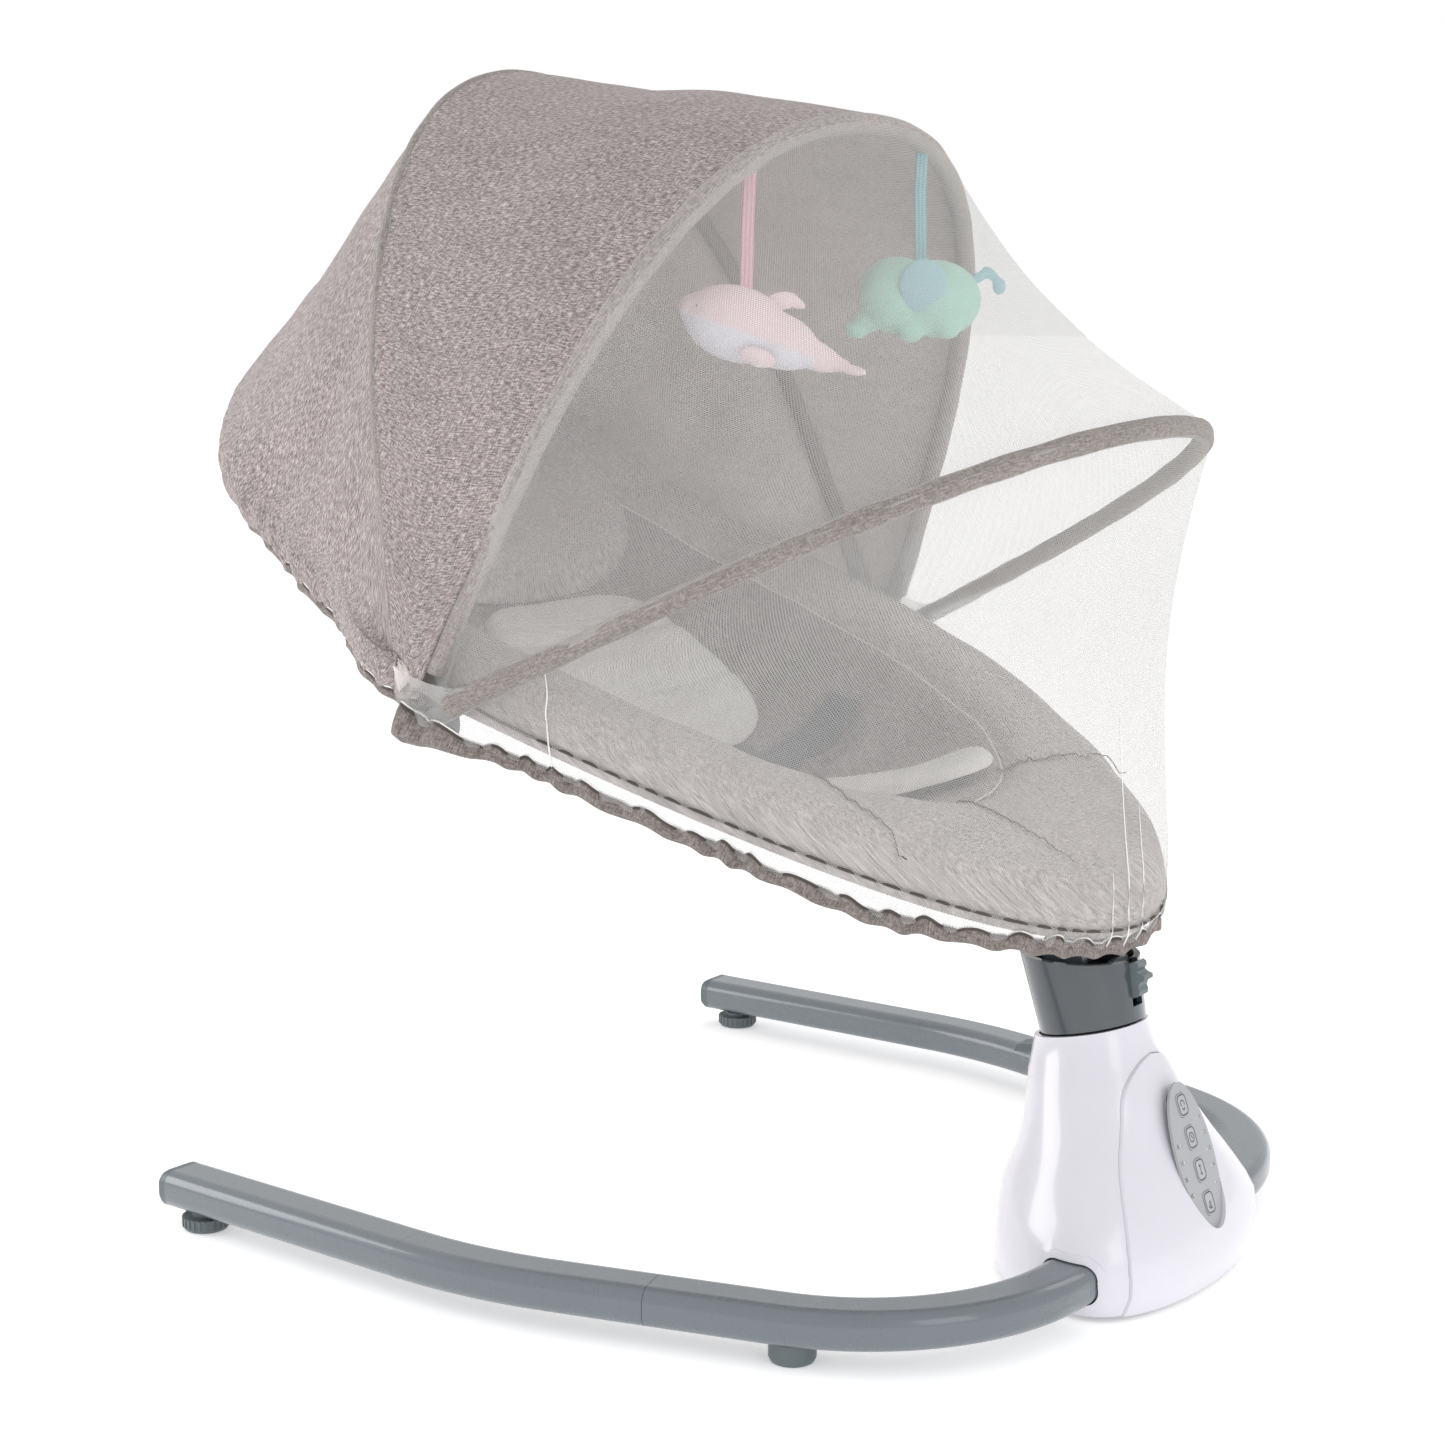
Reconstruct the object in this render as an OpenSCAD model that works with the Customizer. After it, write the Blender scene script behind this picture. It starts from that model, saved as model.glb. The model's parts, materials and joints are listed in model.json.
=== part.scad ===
// Electric baby swing: floor base with a drive housing, a tilted swing column,
// a reclining oval seat, a folding hood and an insect net.
// Millimetres. +X is the foot end, -X the head end, +Z up, floor at z = 0.

/* [Base frame] */
// Half spacing of the two floor tubes at their rear ends
leg_half = 257; // [235:1:275]
// Width of the flat tube
tube_w = 31; // [26:0.5:34]
// Height of the flat tube
tube_h = 21; // [18:0.5:22]
// Height of the tube centre above the floor
tube_z = 21.5; // [20:0.5:24]
// Radius of the front corner bends
corner_r = 128; // [110:1:135]
// Inward angle of the front half of each tube
front_angle = 16; // [14:0.5:18]

/* [Drive housing] */
// Lean of the swing axis towards the head end
lean = 13; // [10:0.5:15]
// Height of the joint between housing and column
neck_z = 132; // [128:1:136]
// Radius of the column at that joint
neck_r = 29; // [27:0.5:30]
// Wall of the housing shells
wall = 2.6; // [2:0.1:3]

/* [Seat] */
// Half width of the padded seat rim
rim_half = 212; // [204:1:213]
// Height of the rim beside the hood pivots
rim_z0 = 322; // [318:1:326]
// Radius of the seat ring tube
ring_r = 4.5; // [4:0.1:4.6]

/* [Hood and net] */
// Height of the hood pivots
pivot_z = 298; // [296:1:300]
// Angle of the front hoop above the foot direction
front_deg = 67; // [65:1:69]
// Angle of the middle hoop
mid_deg = 107.6; // [106:0.2:110]
// Angle of the net hoop
net_deg = 26.4; // [25:0.2:28]
// Radius of the hoop wires
hoop_r = 4; // [3:0.5:4.5]

/* [Hidden] */
$fn = 64;

x_off = 15.2;                    // puts the middle of the whole length at x = 0
tube_end_x = -216;
bend_x = 8;                      // start of the shallow bend in plan
bend_r = 300;
splay = 1.2;                     // the rear halves open outwards by this angle
corner_x = 170;
seam_x = 105;                    // where front and rear tubes meet
cross_x = corner_x + corner_r * (1 - sin(front_angle));
foot_x = -199.4;
front_foot = [175, 211];
slate = [0.37, 0.40, 0.42];
white = [0.95, 0.95, 0.97];
cloth = [0.64, 0.61, 0.59];
mesh_white = [0.93, 0.93, 0.93, 0.4];

// column frame: origin in the joint face, +Z up the leaning swing axis
neck_x = 227;
gap = 1.4;
column_h = 46;
pin_up = 45;                     // recline pin above the joint face
pin_pos = [neck_x - pin_up * sin(lean), 0, neck_z + pin_up * cos(lean)];

// control panel frame: origin at its centre, +Z out of the face, +X down the face
panel_pos = [288.4, 0, 70.5];
panel_tilt = 70.9;
panel_l = 80;
panel_w = 40;
button_rows = [-27.5, -9.7, 8.1, 26];
button_size = [12.4, 10.6];

pivot_x = -58.6;
hoop_y = [215.5, 219, 222.5];    // side of the middle, front and net hoops
hoop_flat = 54;                  // the flat hoop ends reach this far from the pivot
rim_cx = -143;
rim_foot = 390;
rim_head = 182;

// ---------------------------------------------------------------- helpers
module placed() translate([x_off, 0, 0]) children();
module both_sides() { children(); mirror([0, 1, 0]) children(); }
module on_column() translate([neck_x, 0, neck_z]) rotate([0, -lean, 0]) children();
module on_panel() translate(panel_pos) rotate([0, panel_tilt, 0]) children();
module at_pivot(deg) translate([pivot_x, 0, pivot_z]) rotate([0, -deg, 0]) children();

function unit(v) = v / norm(v);
function power(c, e) = sign(c) * pow(abs(c), e);
function lerp(a, b, u) = a * (1 - u) + b * u;
function smooth(u) = let (v = min(1, max(0, u))) v * v * (3 - 2 * v);

// quads between neighbouring rings of n points, ring after ring
function ring_faces(rings, n) =
    [for (i = [0 : rings - 2], j = [0 : n - 1]) let (k = (j + 1) % n)
        each [[i * n + j, (i + 1) * n + k, i * n + k], [i * n + j, (i + 1) * n + j, (i + 1) * n + k]]];

// closed solid through rings of points, capped at both ends
module skin(rings) {
    n = len(rings[0]);
    m = len(rings);
    polyhedron(points = [for (r = rings) each r],
        faces = concat([[for (j = [0 : n - 1]) j]], ring_faces(m, n),
                       [[for (j = [n - 1 : -1 : 0]) (m - 1) * n + j]]));
}

// round or oval bar along points; side_dir stays across the bar
function bar_ring(p, t, side_dir, ra, rb, sides) =
    let (a = unit(cross(side_dir, t)), b = unit(cross(t, a)))
    [for (k = [0 : sides - 1]) p + a * ra * cos(360 * k / sides) + b * rb * sin(360 * k / sides)];
module bar(pts, side_dir, ra, rb, sides = 8)
    skin([for (i = [0 : len(pts) - 1])
        let (t = unit(pts[min(i + 1, len(pts) - 1)] - pts[max(i - 1, 0)]))
        bar_ring(pts[i], t, side_dir, ra, rb, sides)]);

// sheet of constant thickness between two rows of point rows: outer[i][j], inner[i][j]
module sheet_solid(outer, inner) {
    r = len(outer);
    rings = concat(outer, [for (i = [r - 1 : -1 : 0]) inner[i]]);
    n = len(outer[0]);
    m = len(rings);
    polyhedron(points = [for (q = rings) each q],
        faces = concat(
            [for (i = [0 : m - 1], j = [0 : n - 2]) let (k = (i + 1) % m)
                each [[i * n + j, k * n + j + 1, i * n + j + 1], [i * n + j, k * n + j, k * n + j + 1]]],
            [for (i = [0 : r - 2]) let (a = m - 1 - i)
                each [[i * n, (a - 1) * n, (i + 1) * n], [i * n, a * n, (a - 1) * n]]],
            [for (i = [0 : r - 2]) let (a = m - 1 - i, e = n - 1)
                each [[i * n + e, (i + 1) * n + e, (a - 1) * n + e], [i * n + e, (a - 1) * n + e, a * n + e]]]));
}

// ---------------------------------------------------------------- base frame
tube_corner = 8;
// section of the tube: a rectangle with rounded corners, moved outwards by grow
module tube_section(grow = 0) {
    w = tube_w - 2 * tube_corner;
    h = tube_h - 2 * tube_corner;
    r = tube_corner + grow;
    square([w + 2 * r, h], center = true);
    square([w, h + 2 * r], center = true);
    for (s = [-1, 1], t = [-1, 1]) translate([s * w / 2, t * h / 2]) circle(r = r);
}

// straight tube of a given length from a point, heading in plan (degrees)
module tube_run(x, y, heading, length, grow = 0)
    translate([x, y, tube_z]) rotate([0, 0, heading]) rotate([90, 0, 90])
        linear_extrude(length) tube_section(grow);

// plan of the right-hand tube (y < 0): rear run, shallow bend, front run, corner, cross run
bend_turn = splay + front_angle;
bend_y = -(leg_half + (bend_x - bend_r * 0.15 - tube_end_x) * tan(splay));
bend_in = [bend_x - bend_r * 0.15, bend_y];
bend_c = bend_in + bend_r * [-sin(-splay), cos(-splay)];
bend_out = bend_c + bend_r * [sin(front_angle), -cos(front_angle)];
run_l = (corner_x - bend_out[0]) / cos(front_angle);
seam_l = (seam_x - bend_out[0]) / cos(front_angle);
corner_in = bend_out + run_l * [cos(front_angle), sin(front_angle)];
corner_c = corner_in + corner_r * [-sin(front_angle), cos(front_angle)];
cross_y = corner_c[1];

module arc_tube(c, r, from, turn)
    translate([c[0], c[1], tube_z]) rotate([0, 0, from])
        rotate_extrude(angle = turn, $fn = 96) translate([r, 0]) tube_section();

// a weld line round the tube where two lengths of it meet
weld = 1.2;
hair = 0.02;
module weld_ring(p, heading)
    tube_run(p[0] - weld / 2 * cos(heading), p[1] - weld / 2 * sin(heading), heading, weld, 0.05);
module front_half() {
    tube_run(bend_out[0] + seam_l * cos(front_angle), bend_out[1] + seam_l * sin(front_angle),
        front_angle, run_l - seam_l - hair);
    arc_tube(corner_c, corner_r, front_angle - 90, 90 - front_angle);
    weld_ring(corner_in, front_angle);
    weld_ring([cross_x, cross_y], 90);
}
module base_tube_front() color(slate) placed() {
    both_sides() front_half();
    tube_run(cross_x, cross_y + hair, 90, -2 * (cross_y + hair));
}
module rear_half() {
    tube_run(tube_end_x, -leg_half, -splay, (bend_in[0] - tube_end_x) / cos(splay) - hair);
    arc_tube(bend_c, bend_r, -90 - splay, bend_turn);
    tube_run(bend_out[0] + hair * cos(front_angle), bend_out[1] + hair * sin(front_angle),
        front_angle, seam_l - 0.3);
    weld_ring(bend_in, -splay);
    weld_ring(bend_out, front_angle);
}
stud_r = 4;
module foot_hole() translate([foot_x, -leg_half, -1]) cylinder(r = stud_r + 0.4, h = tube_z + 6);
module rear_tube() difference() { rear_half(); foot_hole(); }
module base_tube_rear_right() color(slate) placed() rear_tube();
module base_tube_rear_left() color(slate) placed() mirror([0, 1, 0]) rear_tube();

module tube_end_caps() color([0.33, 0.36, 0.37]) placed() both_sides()
    translate([tube_end_x, -leg_half, tube_z]) rotate([0, 0, -splay]) rotate([90, 0, -90]) {
        linear_extrude(4) tube_section();
        translate([0, 0, 4]) linear_extrude(2.5) tube_section(-1.5);
        translate([0, 0, 6.5]) linear_extrude(1.5) tube_section(-4);
    }
front_foot_r = 12.2;
module front_feet() color([0.42, 0.45, 0.46]) placed() both_sides()
    translate([front_foot[0], -front_foot[1], 0]) {
        cylinder(r1 = front_foot_r - 1, r2 = front_foot_r, h = 2);
        translate([0, 0, 2]) cylinder(r = front_foot_r, h = tube_z - tube_h / 2 - 2.05);
    }
rear_foot_r = 13.1;
module screw_foot() translate([foot_x, -leg_half, 0]) {
    cylinder(r1 = rear_foot_r - 1, r2 = rear_foot_r, h = 1.5);
    translate([0, 0, 1.5]) cylinder(r = rear_foot_r, h = 6);
    for (a = [0 : 15 : 345]) rotate([0, 0, a])
        translate([rear_foot_r - 0.4, -0.8, 1.8]) cube([0.9, 1.6, 5.4]);
    translate([0, 0, 7.5]) cylinder(r = 8.5, h = 2.6);
    translate([0, 0, 10]) cylinder(r = stud_r, h = tube_z + 4 - 10);
}
module rear_foot_right() color([0.40, 0.43, 0.44]) placed() screw_foot();
module rear_foot_left() color([0.40, 0.43, 0.44]) placed() mirror([0, 1, 0]) screw_foot();

// ---------------------------------------------------------------- drive housing
// the shell's plan at each height: [height, widest x, reach to the front, to the rear, half width]
shell_levels = [[3, 262, 39, 79, 84], [14, 263, 41, 80, 89], [34, 264, 40, 80, 88],
                [52, 258, 38, 73, 77], [70, 250, 37, 59, 63], [90, 240, 37.5, 47, 49],
                [108, 233, 36, 40, 39.5], [124, 228.5, 31.5, 34, 31], [142, 225, 29, 29.5, 29]];
last_level = len(shell_levels) - 1;
level_steps = 2;                 // rings from one level to the next
// a smooth curve runs through every column of the levels
function rise(i) = shell_levels[i + 1][0] - shell_levels[i][0];
function grow_rate(i) = (shell_levels[i + 1] - shell_levels[i]) / rise(i);
function level_rate(i) = i == 0 ? grow_rate(0) : i == last_level ? grow_rate(i - 1)
    : (grow_rate(i - 1) * rise(i) + grow_rate(i) * rise(i - 1)) / (rise(i) + rise(i - 1));
function level_at(i, u) = shell_levels[i] * (2 * pow(u, 3) - 3 * u * u + 1)
    + shell_levels[i + 1] * (3 * u * u - 2 * pow(u, 3))
    + rise(i) * (level_rate(i) * (pow(u, 3) - 2 * u * u + u) + level_rate(i + 1) * (pow(u, 3) - u * u));
shell_plan = concat([for (i = [0 : last_level - 1], k = [0 : level_steps - 1]) level_at(i, k / level_steps)],
                    [shell_levels[last_level]]);
shell_sides = 64;
function shell_ring(p, inset, proud = 0) =
    [for (k = [0 : shell_sides - 1])
        let (a = 360 * k / shell_sides, front = cos(a) > 0,
             reach = (front ? p[2] + proud : p[3]) - inset, e = front ? 0.86 : 1.12)
        [p[1] + reach * power(cos(a), e), (p[4] - inset + proud * 0.7) * power(sin(a), 0.92), p[0]]];
module shell_solid(inset = 0, proud = 0, drop = 0)
    skin([for (p = shell_plan) shell_ring([p[0] == 3 ? p[0] - drop : p[0], p[1], p[2], p[3], p[4]], inset, proud)]);
// smooth line through points, with n steps from each to the next
function curve(p, n) = concat([for (i = [0 : len(p) - 2], k = [0 : n - 1])
    let (u = k / n, a = p[max(0, i - 1)], b = p[i], c = p[i + 1], d = p[min(len(p) - 1, i + 2)])
        b + (c - a) * u / 2 + (2 * a - 5 * b + 4 * c - d) * u * u / 2
          + (3 * b - a - 3 * c + d) * pow(u, 3) / 2], [p[len(p) - 1]]);
// outline of the raised front cover, seen from the front: upright sides under a pointed arch
cover_half = [[71, -5], [72, 13], [73, 33], [63, 54], [51, 73], [39, 90], [28, 108], [13, 119], [0, 122]];
module cover_arch(grow = 0) {
    side = curve(cover_half, 4);
    rotate([90, 0, 90]) linear_extrude(400) offset(delta = grow)
        polygon(concat(side, [for (i = [len(side) - 2 : -1 : 0]) [-side[i][0], side[i][1]]]));
}
split_x = 250;                   // the front cover ends behind this plane
module cover_region(grow = 0) translate([split_x, 0, 0]) cover_arch(grow);
module top_cut() on_column() translate([0, 0, 30]) cube([160, 160, 60], center = true);
module tube_way(clear) translate([cross_x, -130, tube_z]) rotate([-90, 0, 0])
    linear_extrude(260) tube_section(clear);
jack_pos = [193, -27, 24];

lip_w = 4.5;                     // raised lip round each tube opening
lip_h = 1.2;
module housing_body() color(white) placed() difference() {
    union() {
        shell_solid();
        intersection() {
            shell_solid(-lip_h);
            tube_way(lip_w);
        }
    }
    shell_solid(wall, 0, 3);
    top_cut();
    tube_way(0.8);
    cover_region(0.3);
    on_jack() translate([0, 0, -8]) cylinder(r = 4.3, h = 20);
    tab_bar(0.3);
}
// small fixed tab through the back of the shell, under the neck
tab_w = 12;
module tab_bar(clear) translate([0, tab_w / 2 + clear, 0]) rotate([90, 0, 0]) linear_extrude(tab_w + 2 * clear)
    offset(delta = clear) polygon([[181, 110.5], [200, 113], [200, 117.5], [183, 115]]);
module rear_tab() color([0.42, 0.45, 0.46]) placed() tab_bar(0);
module oval_disc(l, w, h) linear_extrude(h)
    polygon([for (k = [0 : 47]) [l / 2 * cos(7.5 * k), w / 2 * sin(7.5 * k)]]);
button_corner = 3;
module button_shape(grow, h) linear_extrude(h) {
    flat = button_size - 2 * [button_corner, button_corner];
    for (s = [-1, 1], t = [-1, 1])
        translate([s * flat[0] / 2, t * flat[1] / 2]) circle(r = button_corner + grow);
    square([flat[0], button_size[1] + 2 * grow], center = true);
    square([button_size[0] + 2 * grow, flat[1]], center = true);
}
module housing_front_cover() color(white) placed() difference() {
    intersection() {
        shell_solid(0, 1.6);
        cover_region();
    }
    shell_solid(wall, 0, 3);
    tube_way(0.8);
    on_panel() oval_disc(panel_l + 0.4, panel_w + 0.4, 20);
    on_panel() for (x = button_rows) translate([x, 0, -12]) button_shape(0.9, 20);
    on_panel() for (p = led_at) translate([p[0], p[1], -12]) cylinder(r = 1.1, h = 20, $fn = 24);
}
module base_plate() color([0.30, 0.31, 0.33]) placed() difference() {
    skin([for (z = [4.2, 7]) shell_ring([z, 262, 39, 79, 84], wall + 0.5)]);
    for (p = base_screw_at) translate([p[0], p[1], 0]) cylinder(r = 1.8, h = 12);
}
base_screw_at = [[205, -22], [205, 22], [284, -42], [284, 42]];
module base_screws() color("silver") placed() for (p = base_screw_at) translate([p[0], p[1], 2.2]) {
    cylinder(r = 3.4, h = 2);
    cylinder(r = 1.75, h = 9);
}
pad_at = [[219, -44], [219, 44], [290, -24], [290, 24], [192, 0]];
module base_pads() color([0.25, 0.26, 0.27]) placed() for (p = pad_at)
    translate([p[0], p[1], 0]) cylinder(r1 = 5.4, r2 = 6, h = 4.2);

module control_panel() color([0.66, 0.67, 0.68]) placed() on_panel() difference() {
    oval_disc(panel_l, panel_w, 1.6);
    for (x = button_rows) translate([x, 0, -1]) button_shape(0.25, 4);
    for (p = led_at) translate([p[0], p[1], -1]) cylinder(r = 0.9, h = 4, $fn = 24);
}
// the row of speed lights on one side, the timer lights on the other, one for power
led_at = [[-17.5, 11], [-8.5, 12.6], [0.4, 13.6], [9.4, 13.6], [18.4, 12.8],
          [-8.5, -12.6], [0.4, -13.6], [9.4, -13.6], [18.4, -12.8]];
module key(i) color([0.70, 0.71, 0.72]) placed() on_panel() translate([button_rows[i], 0, -7])
    button_shape(0, 9);
module button_power() key(0);
module button_timer() key(1);
module button_speed() key(2);
module button_music() key(3);
module circuit_board() color([0.10, 0.35, 0.20]) placed() on_panel() translate([0, 0, -11])
    linear_extrude(1.6) square([72, 30], center = true);
module indicator_leds() color([0.85, 0.86, 0.88]) placed() on_panel() for (p = led_at)
    translate([p[0], p[1], -9.35]) cylinder(r = 0.8, h = 10.8, $fn = 24);
module speaker() color([0.15, 0.15, 0.16]) placed() translate([262, 33, 49]) rotate([0, 90, 0]) {
    cylinder(r = 7, h = 6);
    translate([0, 0, 6]) cylinder(r1 = 10, r2 = 13, h = 3);
    translate([0, 0, 9]) cylinder(r = 13, h = 1.5);
}
module on_jack() translate(jack_pos) rotate([0, -90, 28]) children();
module power_jack() color([0.18, 0.18, 0.20]) placed() on_jack() translate([0, 0, -9]) difference() {
    cylinder(r = 4, h = 13);
    translate([0, 0, 5]) cylinder(r = 2.8, h = 20);
}

shaft_r = 6;
bearing_r = 13;
module bearing_bracket() color([0.55, 0.56, 0.58]) placed() {
    difference() {
        on_column() translate([0, 0, -74]) cylinder(r = bearing_r + 4, h = 66);
        on_column() translate([0, 0, -90]) cylinder(r = shaft_r + 3, h = 90);
        on_column() translate([0, 0, -19]) cylinder(r = bearing_r, h = 30);
        on_column() translate([0, 0, -90]) cylinder(r = bearing_r, h = 27);
    }
    both_sides() translate([0, 20, 0]) rotate([90, 0, 0]) linear_extrude(5)
        polygon([[207, 7], [243, 7], [243, 37], [258, 37], [256, 62], [246, 92], [212, 92], [203, 62],
                 [207, 36]]);
    on_column() translate([-46, -16, -104]) cube([18, 32, 3]);
}
module bearings() color("silver") placed() on_column() for (z = [-18.5, -73]) translate([0, 0, z])
    difference() { cylinder(r = bearing_r, h = 9); translate([0, 0, -1]) cylinder(r = shaft_r + 0.05, h = 12); }
module swing_shaft() color("silver") placed() on_column() translate([0, 0, -80]) cylinder(r = shaft_r, h = 96);
module drive_lever() color([0.75, 0.76, 0.78]) placed() on_column() translate([0, 0, -80.3]) difference() {
    union() {
        cylinder(r = 10, h = 6);
        translate([-44, -6, 0]) cube([40, 12, 6]);
    }
    translate([0, 0, -1]) cylinder(r = shaft_r, h = 9);
}
module drive_magnet() color([0.60, 0.61, 0.63]) placed() on_column()
    translate([-37, 0, -87.4]) cylinder(r = 6, h = 7);
module drive_coil() color([0.72, 0.42, 0.22]) placed() on_column() translate([-37, 0, -101]) difference() {
    cylinder(r = 11, h = 12.5);
    translate([0, 0, -1]) cylinder(r = 4, h = 15);
}

// ---------------------------------------------------------------- swing column
slider_out = 30.5;
column_top_z = 172;              // the column is cut level just under the seat
ear_y = 15;                      // two ears inside it carry the recline pin
ear_t = 5;
ear_r = 12;
pin_r = 4;
module column_shell() color(slate) placed() difference() {
    union() {
        difference() {
            on_column() translate([0, 0, gap]) cylinder(r1 = neck_r, r2 = neck_r + 3.4, h = column_h);
            on_column() translate([0, 0, gap + 5]) cylinder(r1 = neck_r - 3, r2 = neck_r + 0.4, h = column_h);
            translate([neck_x - 80, -60, column_top_z]) cube([160, 120, 40]);
        }
        on_column() both_sides() translate([-ear_r, ear_y, gap + 3]) cube([2 * ear_r, ear_t, pin_up - gap - 3]);
        on_column() both_sides() translate([0, ear_y + ear_t, pin_up]) rotate([90, 0, 0])
            cylinder(r = ear_r, h = ear_t);
    }
    on_column() translate([0, 0, -1]) cylinder(r = shaft_r, h = 20);
    on_column() translate([0, 40, pin_up]) rotate([90, 0, 0]) cylinder(r = pin_r, h = 80);
    on_column() translate([slider_out - 12, -5.2, 9.3]) cube([24, 10.4, 25.2]);
}
module recline_pin() color("silver") placed() on_column() translate([0, 21, pin_up])
    rotate([90, 0, 0]) cylinder(r = pin_r, h = 42);
// release slider: a tall rounded thumb piece with two finger waves in the column's front
module release_slider() color([0.40, 0.43, 0.45]) placed() on_column() {
    translate([0, 5, 0]) rotate([90, 0, 0]) linear_extrude(10)
        polygon([[22, 15], [22, 31], [30, 32], [34.6, 33.4], [36.2, 32], [36, 30], [34.6, 28.2],
                 [35.8, 26.6], [38.6, 25], [38.4, 23], [35.2, 21.6], [34, 19.4], [34.4, 17], [33.6, 14.8],
                 [31.5, 14]]);
    translate([20.5, -8, 11.5]) cube([3.4, 16, 24]);      // closes the slot from inside
}

// ---------------------------------------------------------------- seat
// height of the rim's centre line over x, and how far the sling hangs below it
rim_slope = 0.338;
function rim_z(x) = let (u = x - pivot_x)
    rim_z0 - rim_slope * u + (u < 0 ? 0.0006 : -0.0002) * u * u + 0.0008 * pow(max(0, -u - 90), 2);
// the bowl sunk into the padded deck: an oval with its own middle, reaches and half width
bowl_cx = -80;
bowl_foot = 225;
bowl_head = 212;
bowl_half = 142;
bowl_e = 2.2;
bowl_deep = 30;
bowl_seat = 38;                  // extra depth under the sitting place
function bowl_drop(x) = bowl_deep + bowl_seat * exp(-pow((x - 10) / 120, 2));
function bowl_xy(a, s) = [bowl_cx + s * (cos(a) > 0 ? bowl_foot : bowl_head) * power(cos(a), 2 / bowl_e),
                          s * bowl_half * power(sin(a), 2 / bowl_e)];
function bowl_share(x, y) = let (r = x > bowl_cx ? bowl_foot : bowl_head)
    pow(pow(abs(x - bowl_cx) / r, bowl_e) + pow(abs(y) / bowl_half, bowl_e), 1 / bowl_e);
function bowl_fill(s) = 1 - pow(min(1, s), 2.8);
// share of the width lost along the straight sides of the head end
function head_taper(x) = 0.13 * smooth((-75 - x) / 90) * (1 - smooth((-200 - x) / 70));
function rim_xy(a) =
    let (foot = cos(a) > 0, reach = foot ? rim_foot : rim_head,
         x = rim_cx + reach * power(cos(a), foot ? 1.035 : 0.95))
    [x, rim_half * sin(a) * (1 - head_taper(x))];
// the rim line moved outwards by d
function rim_out(a, d) = let (t = unit(rim_xy(a + 0.5) - rim_xy(a - 0.5))) rim_xy(a) + d * [t[1], -t[0]];
function rim_at(a, d, dz) = let (q = rim_out(a, d)) [q[0], q[1], rim_z(q[0]) + dz];
// the pad is squeezed flat beside the hood pivots
hub_y = 207;
hub_x = [-108, 2];
function hub_limit(x) = hub_y + 14 * (smooth((hub_x[0] - x) / 30) + smooth((x - hub_x[1]) / 40));
function squeeze(p) = [p[0], sign(p[1]) * min(abs(p[1]), hub_limit(p[0])), p[2]];
seat_sides = 56;
function bowl_ring(s, dz) =
    [for (k = [0 : seat_sides - 1]) let (q = bowl_xy(360 * k / seat_sides, s))
        [q[0], q[1], rim_z(q[0]) + dz - bowl_drop(q[0]) * bowl_fill(s)]];
function rim_ring(d, dz) = [for (k = [0 : seat_sides - 1]) squeeze(rim_at(360 * k / seat_sides, d, dz))];
module seat_cover() color(cloth) placed()
    skin(concat([for (p = [[0.08, -9], [0.5, -9], [0.8, -9], [1, -8]]) bowl_ring(p[0], p[1])],
                [for (p = [[-22, -5], [-15, -2.6], [1, -2.4], [6, 3], [3, 10], [-5, 14], [-20, 13]])
                    rim_ring(p[0], p[1])],
                [for (p = [[1.05, 9], [0.97, 4], [0.86, 0], [0.66, -1], [0.38, -1], [0.07, -1]])
                    bowl_ring(p[0], p[1])]));
ring_drop = -9.5;
ring_in = -7;
ring_gap_deg = 7;                // half of the ring's opening at the bracket
module seat_ring() color([0.35, 0.37, 0.39]) placed()
    bar([for (k = [0 : 60]) rim_at(lerp(ring_gap_deg, 360 - ring_gap_deg, k / 60), ring_in, ring_drop)],
        [0, 0, 1], ring_r, ring_r);
// bracket: a barrel on the recline pin, a stem, and a plate that clamps the ring's two ends
foot_slope = 24.4;
barrel_half = 13;
plate_up = 23;
module seat_bracket() color([0.33, 0.35, 0.37]) placed() difference() {
    translate(pin_pos) union() {
        rotate([90, 0, 0]) translate([0, 0, -barrel_half]) cylinder(r = 11, h = 2 * barrel_half);
        rotate([0, foot_slope, 0]) {
            translate([-9, -barrel_half + 1, 0]) cube([18, 2 * barrel_half - 2, plate_up + 1]);
            translate([-14, -38, plate_up]) cube([32, 76, 5]);
        }
    }
    translate(pin_pos) rotate([90, 0, 0]) translate([0, 0, -20]) cylinder(r = pin_r + 0.05, h = 40);
}
// height of the cover's upper side
function seat_top(x, y) = let (s = bowl_share(x, y)) rim_z(x) - bowl_drop(x) * bowl_fill(s) - 1
    + 10 * smooth((s - 0.72) / 0.33);
// soft slab that follows the seat: size along and across, turned by yaw about its middle,
// lift above the cover, thickness, share of it lost towards the long edges
module seat_pad(at, size, yaw, lift, thick, thin, rows, cols) {
    function place(i, j) = let (u = (i / rows - 0.5) * size[0], v = (j / cols - 0.5) * size[1])
        at + [u * cos(yaw) - v * sin(yaw), u * sin(yaw) + v * cos(yaw)];
    function low(i, j) = let (q = place(i, j)) [q[0], q[1], seat_top(q[0], q[1]) + lift];
    function crown(j) = thick * (1 - thin * pow(2 * j / cols - 1, 2));
    sheet_solid([for (i = [0 : rows]) [for (j = [0 : cols]) low(i, j)]],
                [for (i = [0 : rows]) [for (j = [0 : cols]) low(i, j) + [0, 0, crown(j)]]]);
}
module head_pillow() color(cloth) placed() seat_pad([-204, 0], [76, 240], 0, 4, 32, 0.4, 6, 8);
module body_insert() color([0.78, 0.76, 0.75]) placed() seat_pad([-98, 0], [128, 168], 0, 4, 16, 0.4, 8, 8);
module crotch_pad() color([0.76, 0.75, 0.74]) placed() seat_pad([76, 14], [128, 58], 30, 5, 12, 0.5, 6, 6);
module waist_straps() color([0.50, 0.52, 0.55]) placed() both_sides()
    seat_pad([-10, 66], [24, 84], 0, 4, 2, 0, 2, 5);
buckle_x = -14;
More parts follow.
